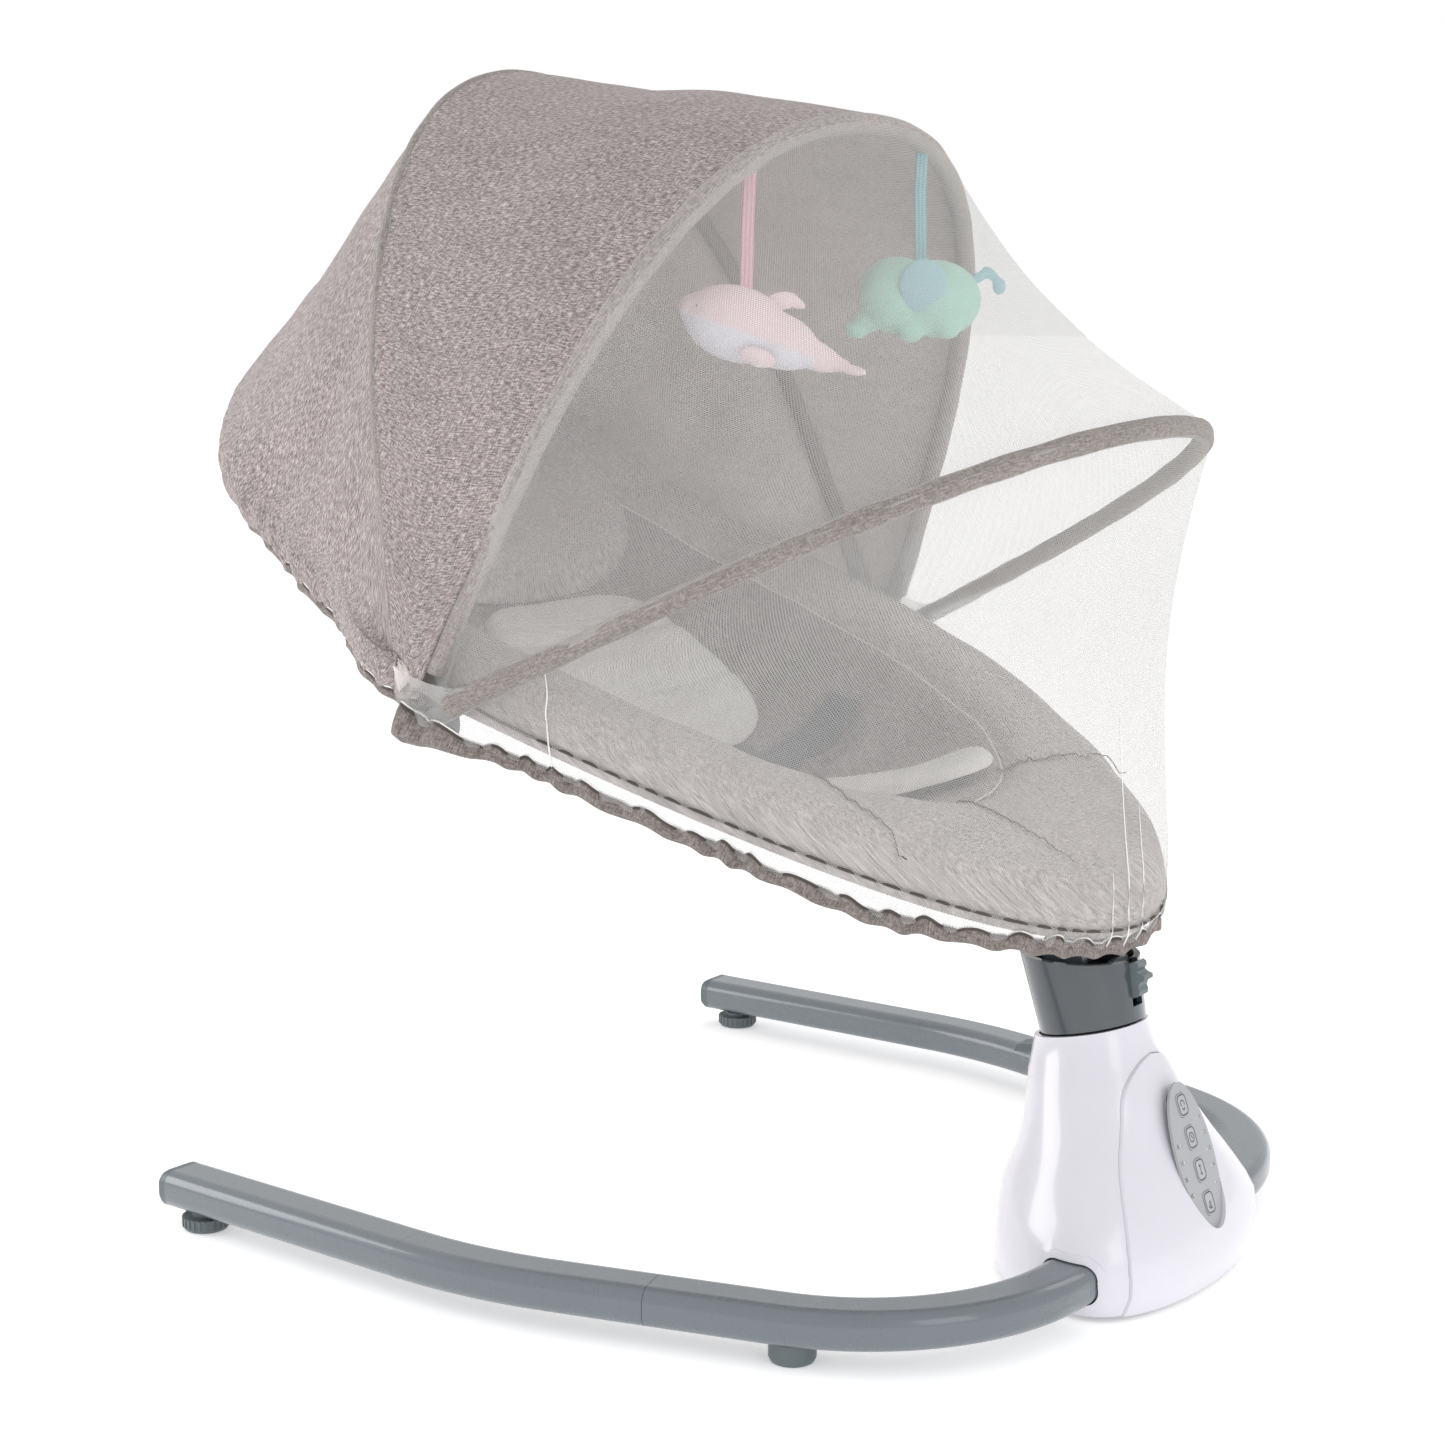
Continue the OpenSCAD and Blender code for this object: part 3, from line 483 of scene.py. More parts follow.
MAT = {
    "tube_paint": plastic("tube_paint", (110, 117, 123), 0.28, 0.5, 0.03, 0.012),
    "dark_plastic": plastic("dark_plastic", (98, 107, 110), 0.42, 0.1, 0.08, 0.2),
    "slate_plastic": plastic("slate_plastic", (72, 78, 83), 0.22, 0.6, 0.04, 0.01),
    "white_plastic": plastic("white_plastic", (222, 220, 228), 0.24, 0.5, 0.015, 0.01),
    "panel_plastic": plastic("panel_plastic", (172, 174, 177), 0.45, 0.0, 0.03, 0.2),
    "key_plastic": plastic("key_plastic", (178, 180, 183), 0.45, 0.0, 0.03, 0.2),
    "led_plastic": plastic("led_plastic", (205, 207, 210), 0.3, 0.2, 0.04, 0.1),
    "board": plastic("board", (24, 90, 52), 0.4, 0.3, 0.15, 0.2),
    "black_plastic": plastic("black_plastic", (42, 43, 46), 0.5, 0.0, 0.15, 0.3),
    "foot_rubber": plastic("foot_rubber", (60, 61, 63), 0.85, 0.0, 0.15, 0.5),
    "steel": plastic("steel", (178, 180, 182), 0.32, 0.0, 0.08, 0.1, 1.0),
    "chassis_plastic": plastic("chassis_plastic", (112, 115, 118), 0.5, 0.0, 0.08, 0.3),
    "copper_coil": plastic("copper_coil", (190, 110, 66), 0.35, 0.2, 0.15, 0.4, 0.8),
    "hoop_plastic": plastic("hoop_plastic", (150, 149, 148), 0.5, 0.0, 0.06, 0.2),
    "hood_fabric": melange("hood_fabric", (108, 98, 97), (154, 143, 142), (204, 194, 193)),
    "seat_fabric": melange("seat_fabric", (130, 123, 122), (180, 172, 171), (222, 215, 214)),
    "light_fabric": melange("light_fabric", (212, 208, 206), (232, 229, 227), (244, 242, 240), weave=700),
    "binding": melange("binding", (104, 95, 91), (134, 126, 122), (164, 157, 153)),
    "strap": webbing("strap", (88, 94, 104)),
    "net": netting("net", (240, 239, 237), 0.50, 0.18),
    "pink_plush": plush("pink_plush", (255, 226, 231)),
    "mint_plush": plush("mint_plush", (182, 234, 217)),
}
BOWL = melange("seat_bowl_fabric", (100, 93, 92), (148, 140, 139), (196, 188, 187), large=0.09)
PALE_THREAD = plastic("pale_thread", (226, 222, 220), 0.9, spread=0.06, grain=0.4)
# painted light: this inner layer is much paler than the hood cloth, standing in for light shining through the thin
# cloth
LINING_PAINTED_LIGHT = melange("lining_painted_light", (190, 181, 179), (222, 213, 211), (240, 233, 231))
SLEEVE = melange("sleeve", (126, 119, 116), (148, 141, 138), (170, 164, 161))
FRONT_SLEEVE = melange("front_sleeve", (146, 140, 138), (168, 161, 159), (190, 183, 181))
NET_EDGE = plastic("net_edge", (244, 244, 243), 0.8, spread=0.03)
THREAD = plastic("thread", (84, 77, 74), 0.9, spread=0.1, grain=0.4)
INK = plastic("ink", (72, 74, 78), 0.6, spread=0.08)
BELLY = plush("belly", (240, 238, 250))
EAR = plush("ear", (168, 216, 226))
EYE = plastic("eye", (60, 62, 74), 0.3, 0.4)
RIBBON_PINK = webbing("ribbon_pink", (240, 188, 200))
RIBBON_TEAL = webbing("ribbon_teal", (150, 210, 216))


# ------------------------------------------------------------------ seat
def groove(d, depth, width):
    return -depth * np.exp(-(d / width) ** 2)


def line_distance(x, y, pts):
    """Distance in plan from points to a line of points."""
    best = np.full(x.shape, 1e9)
    for (x0, y0), (x1, y1) in zip(pts[:-1], pts[1:]):
        dx, dy = x1 - x0, y1 - y0
        u = np.clip(((x - x0) * dx + (y - y0) * dy) / (dx * dx + dy * dy), 0, 1)
        best = np.minimum(best, np.hypot(x - x0 - u * dx, y - y0 - u * dy))
    return best


def seat_cover():
    cols = 340
    a = np.linspace(0, 360, cols, endpoint=False)
    under = 3.4 * smooth((np.abs((a + 180) % 360 - 180) - 84) / 22)   # slimmer where the hood covers it
    rim = lambda d, dz: squeeze(rim_at(a, d - under * (d > 0), dz))
    below = [(0.02, -9), (0.5, -9), (0.8, -9), (1, -8)]
    edge = [(-22, -9), (-14, -13.8), (-7, -15.4), (1, -13), (5.5, -5), (6.2, 2), (3.5, 9.5), (-5, 14),
            (-20, 13)]
    above = [(1.05, 9), (0.97, 4), (0.86, 0), (0.66, -1), (0.38, -1), (0.02, -1)]
    rows = [bowl_ring(a, *q) for q in below] + [rim(*q) for q in edge] + [bowl_ring(a, *q) for q in above]
    p, _ = loft(rows, 3.0)
    x, y = p[..., 0], p[..., 1]
    s = bowl_share(x, y)
    lift = 5.0 * np.sin(np.clip((s - 1.03) / 0.42, 0, 1) * math.pi)   # padded deck
    lift += groove(s - BOWL_SEAM, 4.5, 0.02)
    for side in (-1, 1):
        near = [(124, 106), (150, 111), (182, 126)] if side < 0 else [(133, 59), (151, 95), (174, 133)]
        pts = [(q[0], side * q[1]) for q in near]
        lift += groove(line_distance(x, y, pts), 2.5, 3.0)
    # soft creases that fan out from the sitting place
    ang = np.degrees(np.arctan2(y, x - 20))
    fan = np.exp(-((s - 0.62) / 0.24) ** 2) * (s < 1.05)
    lift += fan * (4.0 * wobble(ang, 26, 5) + 2.0 * wobble(ang + 40 * s, 11, 8))
    lift += 1.0 * waves(p, 60, 3)
    upper_side = len(p) // 2 - 2
    p[upper_side:, :, 2] += lift[upper_side:]
    uv = np.stack([x + 0.8 * p[..., 2], y + 0.6 * p[..., 2]], -1)
    return grid("seat_cover_fabric", p, MAT["seat_fabric"], uv, close_u=True), p


cover, cover_points = seat_cover()
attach(cover, "seat")
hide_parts("seat_cover")
cover.data.materials.append(BOWL)
for face in cover.data.polygons:
    at = face.center * 1000
    if bowl_share(at.x - XO, at.y) < BOWL_SEAM:
        face.material_index = 1


def rim_piping():
    a = np.linspace(-78, 78, 200)
    line = squeeze(rim_at(a, 6.7, -5.0))
    return tube("rim_piping", line, 0.85, THREAD, 8)


upper_rows = cover_points[len(cover_points) // 2:]
row_share = bowl_share(upper_rows[..., 0], upper_rows[..., 1]).mean(1)


def bowl_seam():
    """Pale piping round the bowl, lying in its groove."""
    line = upper_rows[np.argmin(np.abs(row_share - BOWL_SEAM))] + np.array([0, 0, 0.6])
    return tube("bowl_seam", np.concatenate([line, line[:1]]), 0.8, PALE_THREAD, 6)


def deck_seam(pts):
    """Dark seam across the padded deck, laid on its surface."""
    pts = np.array(pts, float)
    d = along(np.c_[pts, np.zeros(len(pts))])
    q = np.linspace(0, d[-1], 40)
    flat = upper_rows.reshape(-1, 3)
    line = []
    for x, y in zip(np.interp(q, d, pts[:, 0]), np.interp(q, d, pts[:, 1])):
        near = np.argsort(np.hypot(flat[:, 0] - x, flat[:, 1] - y))[:6]
        line.append((x, y, flat[near, 2].max() + 0.4))
    return tube("deck_seam", np.array(line), np.linspace(0.75, 0.3, 40), THREAD, 6)


SEAMS = [[(112, -104), (132, -108), (156, -112), (186, -127)], [(131, 55), (151, 95), (174, 133)],
         [(150, -20), (188, -28), (226, -22)]]
piping = join("rim_piping", [rim_piping(), bowl_seam()] + [deck_seam(q) for q in SEAMS])
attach(piping, "seat")


# ------------------------------------------------------------------ stuffed pads
def outline_pad(name, at, size, yaw, lift, thick, corner, material,
                seams=(), n=44, edge=0.22, waist=0.0):
    """Crowned pad that lies on the seat; its outline is a rounded box pulled in between the corners."""
    u = np.linspace(-1, 1, n)
    uu, vv = np.meshgrid(u, u, indexing="ij")
    m = np.maximum(np.abs(uu), np.abs(vv)) + 1e-9        # 0 in the middle and 1 on the outline
    r = (np.abs(uu / m) ** corner + np.abs(vv / m) ** corner) ** (1 / corner)
    su, sv = uu / r, vv / r
    pull = 1 - waist * (1 - np.abs(su) ** 2) * np.abs(sv)
    lx, ly = su * size[0] / 2, sv * size[1] / 2 * pull
    c, s = math.cos(math.radians(yaw)), math.sin(math.radians(yaw))
    x, y = at[0] + lx * c - ly * s, at[1] + lx * s + ly * c
    base = seat_top(x, y) + lift
    dome = np.sqrt(np.maximum(0, 1 - m ** 2.6)) * (1 - edge) + edge * (m < 0.999)
    h = thick * dome
    for su0, depth, width in seams:
        h = h + groove((su - su0) * size[0] / 2, depth, width) * (m < 0.97)
    wob = waves(np.stack([x, y, base], -1), 34, 21) * 0.5 * dome
    top = np.stack([x, y, base + np.maximum(h, 0.0) + wob], -1)
    low = np.stack([x, y, base], -1)
    f = grid_faces(n, n)
    k = n * n
    border = [i * n for i in range(n)] + [(n - 1) * n + j for j in range(1, n)] \
        + [i * n + n - 1 for i in range(n - 2, -1, -1)] + list(range(n - 2, 0, -1))
    side = [[i, j, j + k, i + k] for i, j in zip(border, border[1:] + border[:1])]
    faces = f[:, ::-1].tolist() + (f + k).tolist() + side
    uv = np.concatenate([np.stack([lx, ly], -1).reshape(-1, 2)] * 2)
    ob = make(name, np.concatenate([top.reshape(-1, 3), low.reshape(-1, 3)]), faces, uv, material)
    bm = bmesh.new()
    bm.from_mesh(ob.data)
    bmesh.ops.recalc_face_normals(bm, faces=bm.faces)
    bm.to_mesh(ob.data)
    bm.free()
    sm = ob.modifiers.new("round", "SUBSURF")
    sm.levels = sm.render_levels = 1
    apply_modifiers(ob)
    return ob


pillow = outline_pad("head_pillow_pad", (-204, 0), (74, 236), 0, 2.5, 27, 3.2, MAT["seat_fabric"],
                     n=40, edge=0.3)
insert = outline_pad("body_insert_pad", (-98, 0), (126, 166), 0, 2.5, 14, 3.5, MAT["light_fabric"],
                     seams=((-0.35, 3, 3), (0.35, 3, 3)), n=44)
crotch = outline_pad("crotch_pad_cushion", (72, 12), (142, 64), 30, 5, 11, 2.6, MAT["light_fabric"],
                     n=36, waist=0.25)
for ob, node, slot in ((pillow, "head_pillow", "seat_fabric"), (insert, "body_insert", "light_fabric"),
                       (crotch, "crotch_pad", "light_fabric")):
    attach(ob, "seat")
    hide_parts(node)


# ------------------------------------------------------------------ harness
def strap_band(name, pts, width, thick, material, lift):
    """Flat webbing along plan points on the seat, a band two layers thick, open at its ends."""
    pts = np.array(pts, float)
    s = along(np.c_[pts[:, :2], np.zeros(len(pts))])
    q = np.linspace(0, s[-1], 40)
    x, y = np.interp(q, s, pts[:, 0]), np.interp(q, s, pts[:, 1])
    up = np.interp(q, s, pts[:, 2])
    d = unit(np.stack([np.gradient(x), np.gradient(y)], -1))
    n = np.stack([-d[:, 1], d[:, 0]], -1)
    w = np.linspace(-1, 1, 7)
    rows = []
    for lay in (0, 1):
        for k in (w if lay == 0 else w[::-1]):
            px, py = x + n[:, 0] * k * width / 2, y + n[:, 1] * k * width / 2
            puff = 0.35 * np.sin(q / 7) * (1 - abs(k)) + 0.2 * (1 - k * k)
            z = seat_top(px, py) + lift + up + lay * thick + puff
            rows.append(np.stack([px, py, z], -1))
    p = np.array(rows)
    f = grid_faces(len(rows), 40, close_v=True)
    uv = np.stack(np.meshgrid(q, np.r_[w, w[::-1]] * width / 2, indexing="xy"), -1)[..., ::-1]
    return make(name, p, f[:, ::-1].tolist(), uv, material)


WAIST = [(-12, 24, 2.6), (-10, 62, 2.4), (-8, 106, 2.4)]     # one strap in plan, and its height on the seat
waist = join("waist_strap_webbing", [
    strap_band("w%d" % s, [(x, s * y, z) for x, y, z in WAIST], 22, 1.8, MAT["strap"], 0.4) for s in (-1, 1)])
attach(waist, "seat")
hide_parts("waist_straps")


# ------------------------------------------------------------------ hood
def gather(p, t, pitch, depth, reach, seed, n_out):
    """Small folds pulled in by the elastic along the last row, fading upwards."""
    s = along(p[-1])
    phase = 2 * math.pi * s / pitch + 1.6 * wobble(s, pitch * 5, seed)
    fold = np.sin(phase) * (1 + 0.4 * wobble(s, pitch * 3, seed + 1))
    fade = np.exp(-((t[-1] - t) / reach) ** 1.3)
    return p + n_out * (depth * fade[:, None] * fold[None, :])[..., None]


def outward(p):
    """Normals of a grid of cloth, on the side away from the seat."""
    n = normals(p)
    return n * np.median(np.sign(np.sum(n * (p - CENTRE), -1)))


def hood_front():
    cols = 200
    a = np.linspace(2.5, 177.5, cols)
    out = hub_out(a, 5.2, 9.5)
    f = np.stack([hoop_line("front_hoop", x, o) for x, o in zip(a, out)])
    m = np.stack([hoop_line("mid_hoop", x, o - 0.6) for x, o in zip(a, out)])
    u = np.linspace(0, 1, 76)
    p = lerp(f[None], m[None], u[:, None, None])
    n = outward(p)
    swell = np.sin(math.pi * u ** 0.7)[:, None] * np.sin(np.radians(a))[None] ** 0.6
    crease = waves(p * np.array([1, 0.6, 0.6]), 130, 11) * 1.6 + waves(p, 55, 12) * 0.6
    p = p + n * (2.0 * swell + crease * np.sin(math.pi * u)[:, None] ** 0.6 * smooth(a / 18)[None]
                 * smooth((180 - a) / 18)[None])[..., None]
    return lined(grid("hood_front_fabric", p, MAT["hood_fabric"])), p


def hood_rear():
    cols = 320
    w = np.linspace(0, 1, cols)
    a = lerp(2.5, 177.5, w)
    b = lerp(283.5, 76.5, w)
    out = hub_out(a, 4.6, 10)
    top = np.stack([hoop_line("mid_hoop", x, o) for x, o in zip(a, out)])
    side = np.abs(2 * w - 1)
    ends = 14 * smooth((side - 0.84) / 0.14)      # the corners pass outside the hood pivots
    show = smooth((side - 0.5) / 0.3)             # the hem is tucked under the rim at the head
    rim = lambda d, dz: rim_at(b, d + ends, dz)
    brim = rim(6, 7)
    rows = [top] + [lerp(top, brim, u) for u in (0.12, 0.35, 0.62, 0.86)] \
        + [brim, rim(6.8, 0), rim(lerp(5, 5.5, show), -7), rim(lerp(1, 4, show), lerp(-13, -11, show)),
           rim(lerp(-5, 2.5, show), lerp(-16, -14, show))]
    p, t = loft(rows, 4.0)
    n = outward(p)
    u = t / t[-1]
    swell = -1.0 * np.sin(math.pi * np.clip(u / 0.86, 0, 1)) ** 0.8
    crease = 1.8 * waves(p * np.array([0.8, 1, 0.5]), 120, 14) + 0.8 * waves(p, 50, 15)
    ray = 2.2 * wobble(w * 100, 9, 33)[None] * (np.sin(math.pi * np.clip(u / 0.95, 0, 1)) ** 1.5)[:, None]
    ray = ray * smooth((side - 0.25) / 0.5)[None]
    mask = (np.sin(math.pi * np.clip(u / 0.9, 0, 1)) ** 0.5)[:, None]
    p = p + n * (swell[:, None] * np.sin(np.radians(a))[None] ** 0.5 + crease * mask + ray)[..., None]
    p = gather(p, t, 15, 1.6, 24, 41, n)
    return lined(grid("hood_rear_fabric", p, MAT["hood_fabric"])), p


front_panel, front_points = hood_front()
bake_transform(front_panel)
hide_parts("hood_front_panel")

rear_panel, rear_points = hood_rear()
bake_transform(rear_panel)
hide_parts("hood_rear_panel")


# ------------------------------------------------------------------ hoop sleeves
def sleeve(hoop, name, r, flat, material, a0=4.0):
    deg = math.radians(HOOPS[hoop][0])
    a = np.linspace(a0, 180 - a0, 220)
    line = hoop_line(hoop, a)
    side = np.minimum(a, 180 - a)
    line[:, 1] += np.sign(line[:, 1]) * 7 * (1 - smooth((side - 3) / 14))
    s = along(line)
    radius = r + 0.25 * wobble(s, 40, 51)
    ob = tube(name, line, radius, material, 16, flat=flat, up=(-math.sin(deg), 0, math.cos(deg)))
    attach(ob, hoop)
    return ob, line


sleeve("front_hoop", "front_hoop_sleeve", 6.0, 1.0, FRONT_SLEEVE)
sleeve("net_hoop", "net_hoop_sleeve", 5.6, 1.05, SLEEVE)
sleeve("mid_hoop", "mid_hoop_sleeve", 5.2, 1.0, SLEEVE)


# ------------------------------------------------------------------ nets
def net_upper():
    cols = 180
    a = np.linspace(3.5, 176.5, cols)
    n0 = hoop_line("net_hoop", a, 5.6)
    f0 = hoop_line("front_hoop", a, 5.8)
    u = np.linspace(0, 1, 60)
    p = lerp(n0[None], f0[None], u[:, None, None])
    n = outward(p)
    sag = 17 * np.sin(math.pi * u)[:, None] * np.sin(np.radians(a))[None] ** 1.2
    p = p - n * (sag + 0.5 * waves(p, 60, 61) * np.sin(math.pi * u)[:, None])[..., None]
    return grid("net_upper_mesh", p, MAT["net"])


NET_HEM = [(0, -16), (10, -16), (20, -17), (30, -21), (36, -25), (46, -23), (56, -22), (66, -22.5), (72, -20),
           (79, -14)]                 # angle round the rim, and how far below it the net ends


def net_lower():
    cols = 420
    w = np.linspace(0, 1, cols)
    a = lerp(3.5, 176.5, w)
    b = lerp(-77.8, 77.8, w)
    side = np.abs(2 * w - 1)
    ends = 24 * smooth((side - 0.86) / 0.11)      # passes outside the hood pivots
    low = np.interp(np.abs(b), *zip(*NET_HEM))
    top = hoop_line("net_hoop", a, 5.6)
    rim = lambda d, dz: rim_at(b, d + ends, dz)
    brim = rim(7, 6)
    rows = [top] + [lerp(top, brim, u) for u in (0.35, 0.7)] + [brim, rim(7, -6), rim(3, low)]
    p, t = loft(rows, 5.0)
    n = outward(p)
    u = t / t[-1]
    k = np.clip(u / 0.8, 0, 1)
    sag = 13 * np.sin(math.pi * k)[:, None] * np.sin(np.radians(a))[None]
    p = p - n * sag[..., None]
    p = gather(p, t, 13, 1.3, 26, 71, n)
    return grid("net_lower_mesh", p, MAT["net"]), p


upper = net_upper()
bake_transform(upper)
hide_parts("net_upper")

lower, lower_points = net_lower()
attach(lower, "net_hoop")
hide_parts("net_lower")
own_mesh(lower)


# ------------------------------------------------------------------ elastic hems
def ruffle(name, edge_row, drop, seed, material, swing=1.0, ends=0.0):
    """Narrow elastic band gathered under an edge: it waves in and out and twists as it goes.
    Its upper edge is drawn up into small scallops with a dark thread and a pale one."""
    s0 = along(edge_row)
    n = int(s0[-1] / (1.3))
    s = np.linspace(0, s0[-1], n)
    line = np.stack([np.interp(s, s0, edge_row[:, i]) for i in range(3)], -1)
    for _ in range(30):
        line[1:-1] = (line[:-2] + 2 * line[1:-1] + line[2:]) / 4
    t = unit(np.gradient(line, axis=0))
    out = unit(np.cross(t, np.array([0, 0, 1.0])))
    out *= np.sign(np.sum(out * (line - CENTRE), -1))[:, None]
    up = unit(np.cross(t, out))
    up *= np.sign(up[:, 2])[:, None]
    phase = 2 * math.pi * s / 25 + 1.8 * wobble(s, 110, seed)
    big = swing * (1 + 0.35 * wobble(s, 60, seed + 1))
    taller = (drop + ends * (1 - smooth(np.minimum(s, s[-1] - s) / 55))) / 8
    scallop = np.abs(np.sin(phase / 2 + 0.3)) ** 0.7
    rows = []
    profile = [(0.0, 0.0, 1.0), (1.6, -1.4, 1.0), (2.3, -4.0, 0.7), (1.6, -6.6, 0.55), (-0.4, -7.8, 0.5),
               (-2.4, -6.4, 0.5), (-2.6, -3.6, 0.6), (-1.4, -1.2, 0.9)]
    for k, (dx, dz, move) in enumerate(profile):
        o = dx * np.minimum(taller, 1.2) + 2.2 * move * big * np.sin(phase + 0.12 * dz)
        z = dz * taller + 1.5 * move * big * np.sin(phase + 1.1 + 0.10 * dz)
        if k in (0, 1, 7):
            z = z + (3.4 if k == 0 else 2.3) * big * scallop
        rows.append(line + out * o[:, None] + up * z[:, None])
    p = np.array(rows)
    body = make(name, p, grid_faces(len(rows), n, close_v=True)[:, ::-1].tolist(),
                np.stack(np.meshgrid(s, np.arange(len(rows)) * 3.0), -1), material)
    edge = tube(name + "_edge", p[0] + 0.4 * out, 0.85, THREAD, 6)
    pale = tube(name + "_pale", p[0] + 0.5 * out + 1.1 * up, 0.5, NET_EDGE, 6)
    return join(name, [body, edge, pale])


net_band = ruffle("net_hem_ruffle", lower_points[-1], 5.6, 81, MAT["binding"], 1.2, 10.0)
pleats = []
skin = lower_points + 0.6 * outward(lower_points)
# where each pleat meets the hem, how far down the net it starts, and how much it leans
for share, top_share, lean in ((0.077, 0.06, 0.017), (0.475, 0.5, 0), (0.50, 0.66, 0), (0.455, 0.78, 0)):
    down = np.arange(int(top_share * len(lower_points)), len(lower_points))
    across = (share - lean * np.linspace(1, 0, len(down))) * (lower_points.shape[1] - 1)
    k = across.astype(int)
    part = (across - k)[:, None]
    line = skin[down, k] * (1 - part) + skin[down, k + 1] * part
    pleats.append(tube("pleat", line, np.linspace(0.2, 0.5, len(line)), NET_EDGE, 6))
net_band = join("net_hem_ruffle", [net_band] + pleats)
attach(net_band, "net_hoop")
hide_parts("net_hem")
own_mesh(net_band)
rear_band = ruffle("hood_hem_ruffle", rear_points[-1], 3.5, 91, MAT["binding"], 0.7)
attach(rear_band, "seat")
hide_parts("hood_rear_hem")


# ------------------------------------------------------------------ cloth sizes
def declare(p):
    """Works out a sheet's flat size, its longest lines each way and the area of its grid of points, but keeps none
    of them.
    """
    rows = np.linalg.norm(np.diff(p, axis=1), axis=2).sum(1).max() / 1000
    cols = np.linalg.norm(np.diff(p, axis=0), axis=2).sum(0).max() / 1000
    a, b, c = p[:-1, :-1], p[1:, :-1], p[:-1, 1:]
    area = np.linalg.norm(np.cross(b - a, c - a), axis=-1).sum() / 1e6
    flat = (round(rows, 2) + 0.01, round(cols, 2) + 0.01)
    area = min(max(area, 0.31 * flat[0] * flat[1]), flat[0] * flat[1])


upper_points = np.array([v.co for v in upper.data.vertices]).reshape(60, -1, 3) * 1000
declare(front_points)
declare(rear_points)
declare(upper_points)
declare(lower_points)


# ------------------------------------------------------------------ toys
def blob(name, parts, material, voxel=1.5, rounds=6):
    """One soft stuffed body grown from overlapping egg shapes, in mm about its own origin."""
    bm = bmesh.new()
    for (x, y, z), (rx, ry, rz), (ax, ay, az) in parts:
        turn = Matrix.Rotation(math.radians(az), 4, "Z") @ Matrix.Rotation(math.radians(ay), 4, "Y") \
            @ Matrix.Rotation(math.radians(ax), 4, "X")
        m = Matrix.Translation((x, y, z)) @ turn @ Matrix.Diagonal((rx, ry, rz, 1))
        bmesh.ops.create_uvsphere(bm, u_segments=28, v_segments=18, radius=1, matrix=m)
    bmesh.ops.scale(bm, vec=(0.001,) * 3, verts=bm.verts)
    me = bpy.data.meshes.new(name)
    bm.to_mesh(me)
    bm.free()
    ob = place(name, me)
    r = ob.modifiers.new("skin", "REMESH")
    r.mode = "VOXEL"
    r.voxel_size = voxel / 1000
    k = ob.modifiers.new("soft", "SMOOTH")
    k.factor, k.iterations = 0.6, rounds
    apply_modifiers(ob)
    ob.data.polygons.foreach_set("use_smooth", [True] * len(ob.data.polygons))
    ob.data.materials.append(material)
    return ob


def toy(name, body, at, pieces):
    """Joins a toy's pieces and hangs them from their point, a little turned."""
    ob = join(name, pieces)
    ob.data.transform(Matrix.Translation(to_world(at)[0]) @ Matrix.Rotation(math.radians(36), 4, "Z"))
    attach(ob, body)
    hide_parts(body)


def ribbon(name, pts, material, width=7, thick=0.9):
    line = np.array(pts, float)
    s = along(line)
    q = np.linspace(0, s[-1], 24)
    line = np.stack([np.interp(q, s, line[:, i]) for i in range(3)], -1)
    w = np.linspace(-1, 1, 5)
    round_it = [(k, -1) for k in w] + [(k, 1) for k in w[::-1]]
    p = np.array([line + np.array([k * width / 2, side * thick / 2, 0]) for k, side in round_it])
    p[..., 0] -= XO                       # toys are made about their own origin
    uv = np.stack(np.meshgrid(q, np.arange(len(p)) * 2.0), -1)
    return make(name, p, grid_faces(len(p), len(q), close_v=True).tolist(), uv, material)


def paint_faces(ob, material, rule):
    """Gives a second material to the faces whose centre, in mm, meets the rule."""
    ob.data.materials.append(material)
    k = len(ob.data.materials) - 1
    for f in ob.data.polygons:
        c = f.center * 1000
        if rule(c.x, c.y, c.z):
            f.material_index = k


def eyes(toy_name, at, r):
    """Two bead eyes, one on each side."""
    x, y, z = at
    return [blob("%s_eye%d" % (toy_name, s), [((x, s * y, z), (r, 1.4, r), (0, 0, 0))], EYE, 0.5, 1)
            for s in (-1, 1)]


HANG = 7.0                            # a toy's hanging point, below the middle of the front hoop's tube
dolphin_at = hoop_line("front_hoop", np.array([66.5]))[0] - np.array([0, 0, HANG])
elephant_at = hoop_line("front_hoop", np.array([103.0]))[0] - np.array([0, 0, HANG])

dolphin = blob("dolphin_body", [
    ((-7, 0, -77), (29, 18, 20), (0, 16, 0)), ((13, 0, -85), (25, 14, 15), (0, 20, 0)),
    ((-29, 0, -69), (9, 9, 8), (0, 10, 0)), ((33, 0, -93), (17, 7, 8), (0, 22, 0)),
    ((46, 0, -98), (8, 7, 4), (0, 10, 0))], MAT["pink_plush"])
paint_faces(dolphin, BELLY, lambda x, y, z: z < -80 - 0.36 * (x + 6) and x < 34)
FINS = {"fin_a": [((17, 0, -65), (9, 2.4, 5), (0, -8, 0)), ((24, 0, -66), (6, 2, 3), (0, 24, 0))],
        "fin_b": [((4, -17, -94), (10, 2.6, 5.5), (24, 20, 0))],
        "fin_c": [((4, 17, -94), (10, 2.6, 5.5), (-24, 20, 0))],
        "tail": [((54, s * 6, -101), (9, 5, 2.6), (0, 10, s * 40)) for s in (1, -1)]}
fins = [blob("dolphin_" + key, eggs, MAT["pink_plush"], 1.0, 3) for key, eggs in FINS.items()]
string = ribbon("dolphin_ribbon", [(0, 0, 3), (-1, 0, -20), (-2, 0, -62)], RIBBON_PINK)
toy("dolphin_toy", "toy_dolphin", dolphin_at,
    [dolphin] + fins + eyes("dolphin", (-27, 9.6, -68), 1.7) + [string])

